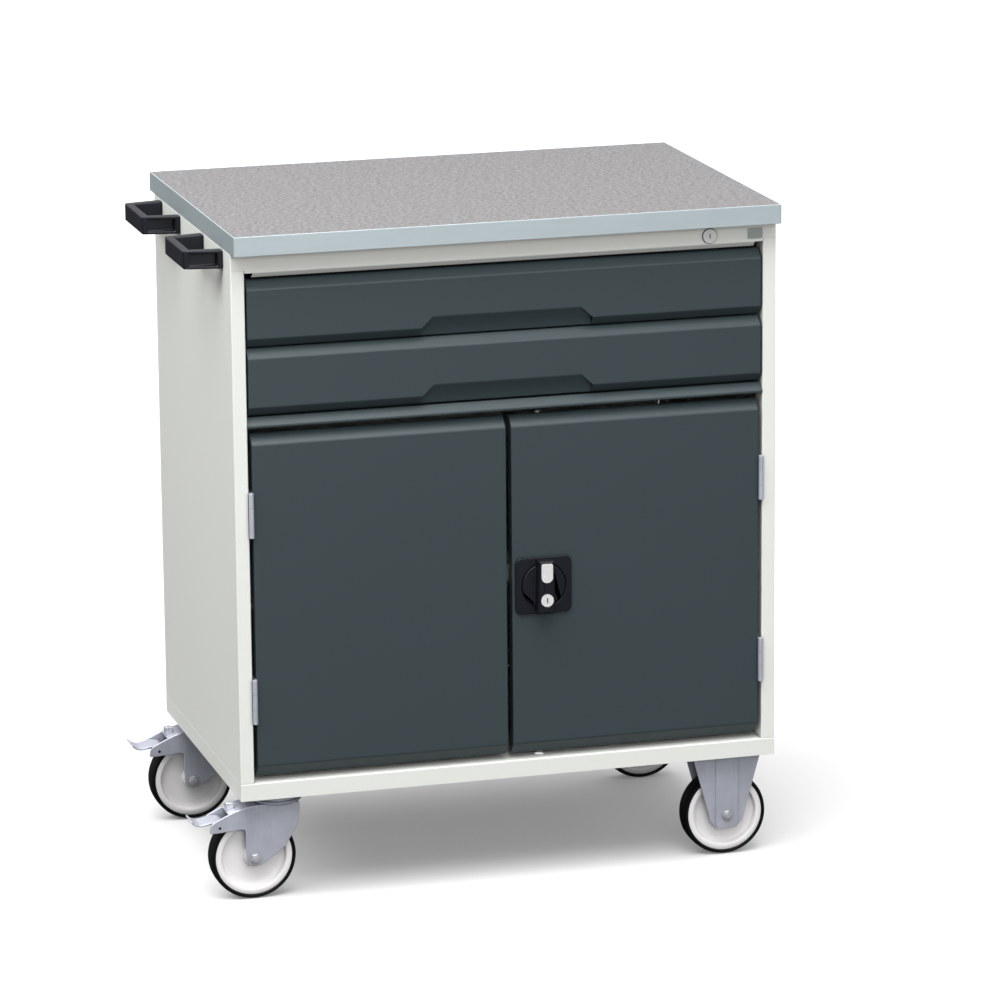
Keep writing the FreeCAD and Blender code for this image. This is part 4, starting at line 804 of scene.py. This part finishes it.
for place in wheelPlaces:
    wheel = centreOf("wheel_rim_" + place)
    if "left" in place:
        node, reach = "swivel_axle_" + place, axleSet["swivelReach"]
    else:
        node, reach = "fixed_axles", axleSet["fixedReach"]
    for side, outward in (("near", -1), ("far", 1)):
        face = (wheel.x, wheel.y + outward * reach, wheel.z)
        hexNut("axle_" + place + "_" + side, face, outward, bodyOf[node])
    end, shoulder = reach + nutSet["thick"] + axleSet["proud"], reach - axleSet["shoulderIn"]
    rod = evenRod([(shoulder, axleSet["shaft"]), (shoulder, axleSet["end"]),
                   (end - axleSet["tipLong"], axleSet["end"]), (end, axleSet["tip"]), (end, 0)])
    piece = turnedPiece("axle_" + place, rod, wheel, "y", axleSet["steps"], bodyOf[node],
                        "bolt_steel")
    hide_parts(node)
print("axles ready")


# ---- locks, with a thin black ring round the barrel as painted shadow, and black pieces in the key slots as painted shade

lockSet = {"barrelProud": 2.0 * mm, "shadowRingIn": 9.9 * mm, "shadowRingOut": 11.3 * mm,
           "shadowRingThick": 0.3 * mm, "shadowRingSteps": 48, "slotHalfWide": 0.75 * mm,
           "slotHalfLong": 3.0 * mm, "slotOut": 0.2 * mm, "slotDeep": 0.5 * mm,
           "slotRounding": 0.2 * mm}


def keySlotShade(name, middle, front, body):
    # a black piece set in the key slot, upright on a plug's front, as painted shade of the slot's
    # depth
    wide, long = lockSet["slotHalfWide"], lockSet["slotHalfLong"]
    outline = [(middle.x + u * wide, middle.z + v * long)
               for u, v in ((-1, -1), (1, -1), (1, 1), (-1, 1))]
    prismPiece(name, outline, front - lockSet["slotOut"], front + lockSet["slotDeep"], "y", body,
               "handle_plastic", lockSet["slotRounding"], 2)


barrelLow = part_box("fascia_lock_barrel")[0]
barrelMiddle = centreOf("fascia_lock_barrel")
# painted shade: black pieces fill the key slots of the drawer lock and of the handle lock
keySlotShade("drawer_key_slot_painted_shade", barrelMiddle, barrelLow.y, bodyOf["fascia_lock_plug"])
keySlotShade("handle_key_slot_painted_shade", centreOf("key_plug"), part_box("key_plug")[0].y, bodyOf["key_plug"])
# painted shadow: a thin black ring on the fascia round the lock barrel stands for the shade round
# it
shadowRingFace = barrelLow.y + lockSet["barrelProud"]
shadowRing = [(0.0, lockSet["shadowRingIn"]), (-lockSet["shadowRingThick"], lockSet["shadowRingIn"]),
        (-lockSet["shadowRingThick"], lockSet["shadowRingOut"]), (0.0, lockSet["shadowRingOut"]),
        (0.0, lockSet["shadowRingIn"])]
turnedPiece("drawer_lock_painted_shadow_ring", shadowRing, (barrelMiddle.x, shadowRingFace, barrelMiddle.z), "y",
            lockSet["shadowRingSteps"], bodyOf["fascia_lock_barrel"], "handle_plastic")
print("locks ready")


# ---- stage, lights and camera

stageSet = {
    "floorHalf": 40.0, "floorSeen": (0.66, 0.66, 0.66), "floorBounce": (0.06, 0.06, 0.062),
    "floorRoughness": 0.9, "floorSpecular": 0.1,
    "floorGlow": 0.12, "farGlow": 0.85, "farFrom": 1.6, "farTo": 6.0,
    "skyTop": 1.2, "skyEdge": 0.40, "skySeen": 1.0, "lightTarget": (0, 0, 0.5),
    "keyPower": 330.0, "keySize": 4.2, "keyPlace": (-0.8, -1.8, 5.2),
    "fillPower": 140.0, "fillSize": 3.0, "fillPlace": (-0.2, -6.6, 2.2),
    "sidePower": 50.0, "sideSize": 1.6, "sidePlace": (-3.0, -0.3, 2.9),
    "lens": 188.25, "sensor": 36.0, "farClip": 100, "cameraPlace": (-1.9495, -7.209, 2.333),
    "yaw": -15.81, "pitch": 13.71, "roll": -0.50,
}


def directRays(tree):
    # one where the camera looks straight at it, none for light that spreads or is mirrored
    return tree.nodes.new("ShaderNodeLightPath").outputs["Is Camera Ray"]


def makeFloor():
    # the floor looks pale, ever paler far away, but throws little soft light back up at the cabinet
    bm = bmesh.new()
    half = stageSet["floorHalf"]
    corners = ((-half, -half), (half, -half), (half, half), (-half, half))
    bm.faces.new([bm.verts.new((x, y, 0)) for x, y in corners])
    floor = newObject("floor", bm)
    material, tree, shader = newMaterial("paleFloor", Roughness=stageSet["floorRoughness"],
                                         Specular_IOR_Level=stageSet["floorSpecular"])
    seen = directRays(tree)
    tree.links.new(mixColor(tree, "MIX", seen, stageSet["floorBounce"], stageSet["floorSeen"]),
                   shader.inputs["Base Color"])
    shader.inputs["Emission Color"].default_value = (1, 1, 1, 1)
    spot = tree.nodes.new("ShaderNodeNewGeometry")
    distance = tree.nodes.new("ShaderNodeVectorMath")
    distance.operation = "LENGTH"
    tree.links.new(spot.outputs["Position"], distance.inputs[0])
    rise = tree.nodes.new("ShaderNodeMapRange")
    rise.interpolation_type = "SMOOTHSTEP"
    for socket, value in (("From Min", stageSet["farFrom"]), ("From Max", stageSet["farTo"]),
                          ("To Min", stageSet["floorGlow"]), ("To Max", stageSet["farGlow"])):
        rise.inputs[socket].default_value = value
    tree.links.new(distance.outputs["Value"], rise.inputs["Value"])
    glow = mathNode(tree, "MULTIPLY", seen, rise.outputs["Result"])
    tree.links.new(glow, shader.inputs["Emission Strength"])
    floor.data.materials.append(material)


def addAreaLight(name):
    light = bpy.data.lights.new(name, "AREA")
    light.energy = stageSet[name + "Power"]
    light.size = stageSet[name + "Size"]
    obj = bpy.data.objects.new(name, light)
    obj.location = stageSet[name + "Place"]
    direction = Vector(stageSet["lightTarget"]) - obj.location
    obj.rotation_euler = direction.to_track_quat("-Z", "Y").to_euler()
    bpy.context.scene.collection.objects.link(obj)


def makeWorld():
    # soft light that is strongest overhead, in front of a plain white backdrop
    world = bpy.data.worlds.new("studio")
    world.use_nodes = True
    tree = world.node_tree
    coords = tree.nodes.new("ShaderNodeTexCoord")
    split = tree.nodes.new("ShaderNodeSeparateXYZ")
    tree.links.new(coords.outputs["Generated"], split.inputs["Vector"])
    rise = mathNode(tree, "MAXIMUM", split.outputs["Z"], 0.0)
    glow = mathNode(tree, "MULTIPLY_ADD", rise, stageSet["skyTop"] - stageSet["skyEdge"],
                    stageSet["skyEdge"])
    direct = directRays(tree)
    seen = mathNode(tree, "MULTIPLY", direct, stageSet["skySeen"])
    hidden = mathNode(tree, "SUBTRACT", 1.0, direct)
    strength = mathNode(tree, "MULTIPLY_ADD", hidden, glow, seen)
    tree.links.new(strength, tree.nodes["Background"].inputs["Strength"])
    tree.nodes["Background"].inputs["Color"].default_value = (1, 1, 1, 1)
    bpy.context.scene.world = world


def makeCamera():
    yaw, pitch, roll = (math.radians(stageSet[name]) for name in ("yaw", "pitch", "roll"))
    forward = Vector((-math.sin(yaw) * math.cos(pitch), math.cos(yaw) * math.cos(pitch),
                      -math.sin(pitch)))
    flatRight = Vector((math.cos(yaw), math.sin(yaw), 0))
    flatUp = flatRight.cross(forward)
    right = flatRight * math.cos(roll) + flatUp * math.sin(roll)
    up = flatUp * math.cos(roll) - flatRight * math.sin(roll)
    data = bpy.data.cameras.new("camera")
    data.sensor_width = stageSet["sensor"]
    data.lens = stageSet["lens"]
    data.clip_end = stageSet["farClip"]
    camera = bpy.data.objects.new("camera", data)
    turn = Matrix((right, up, -forward)).transposed().to_4x4()
    camera.matrix_world = Matrix.Translation(Vector(stageSet["cameraPlace"])) @ turn
    bpy.context.scene.collection.objects.link(camera)
    bpy.context.scene.camera = camera


makeFloor()
makeWorld()
for name in ("key", "fill", "side"):
    addAreaLight(name)
makeCamera()
bpy.context.scene.view_settings.view_transform = "Standard"
print("stage ready")
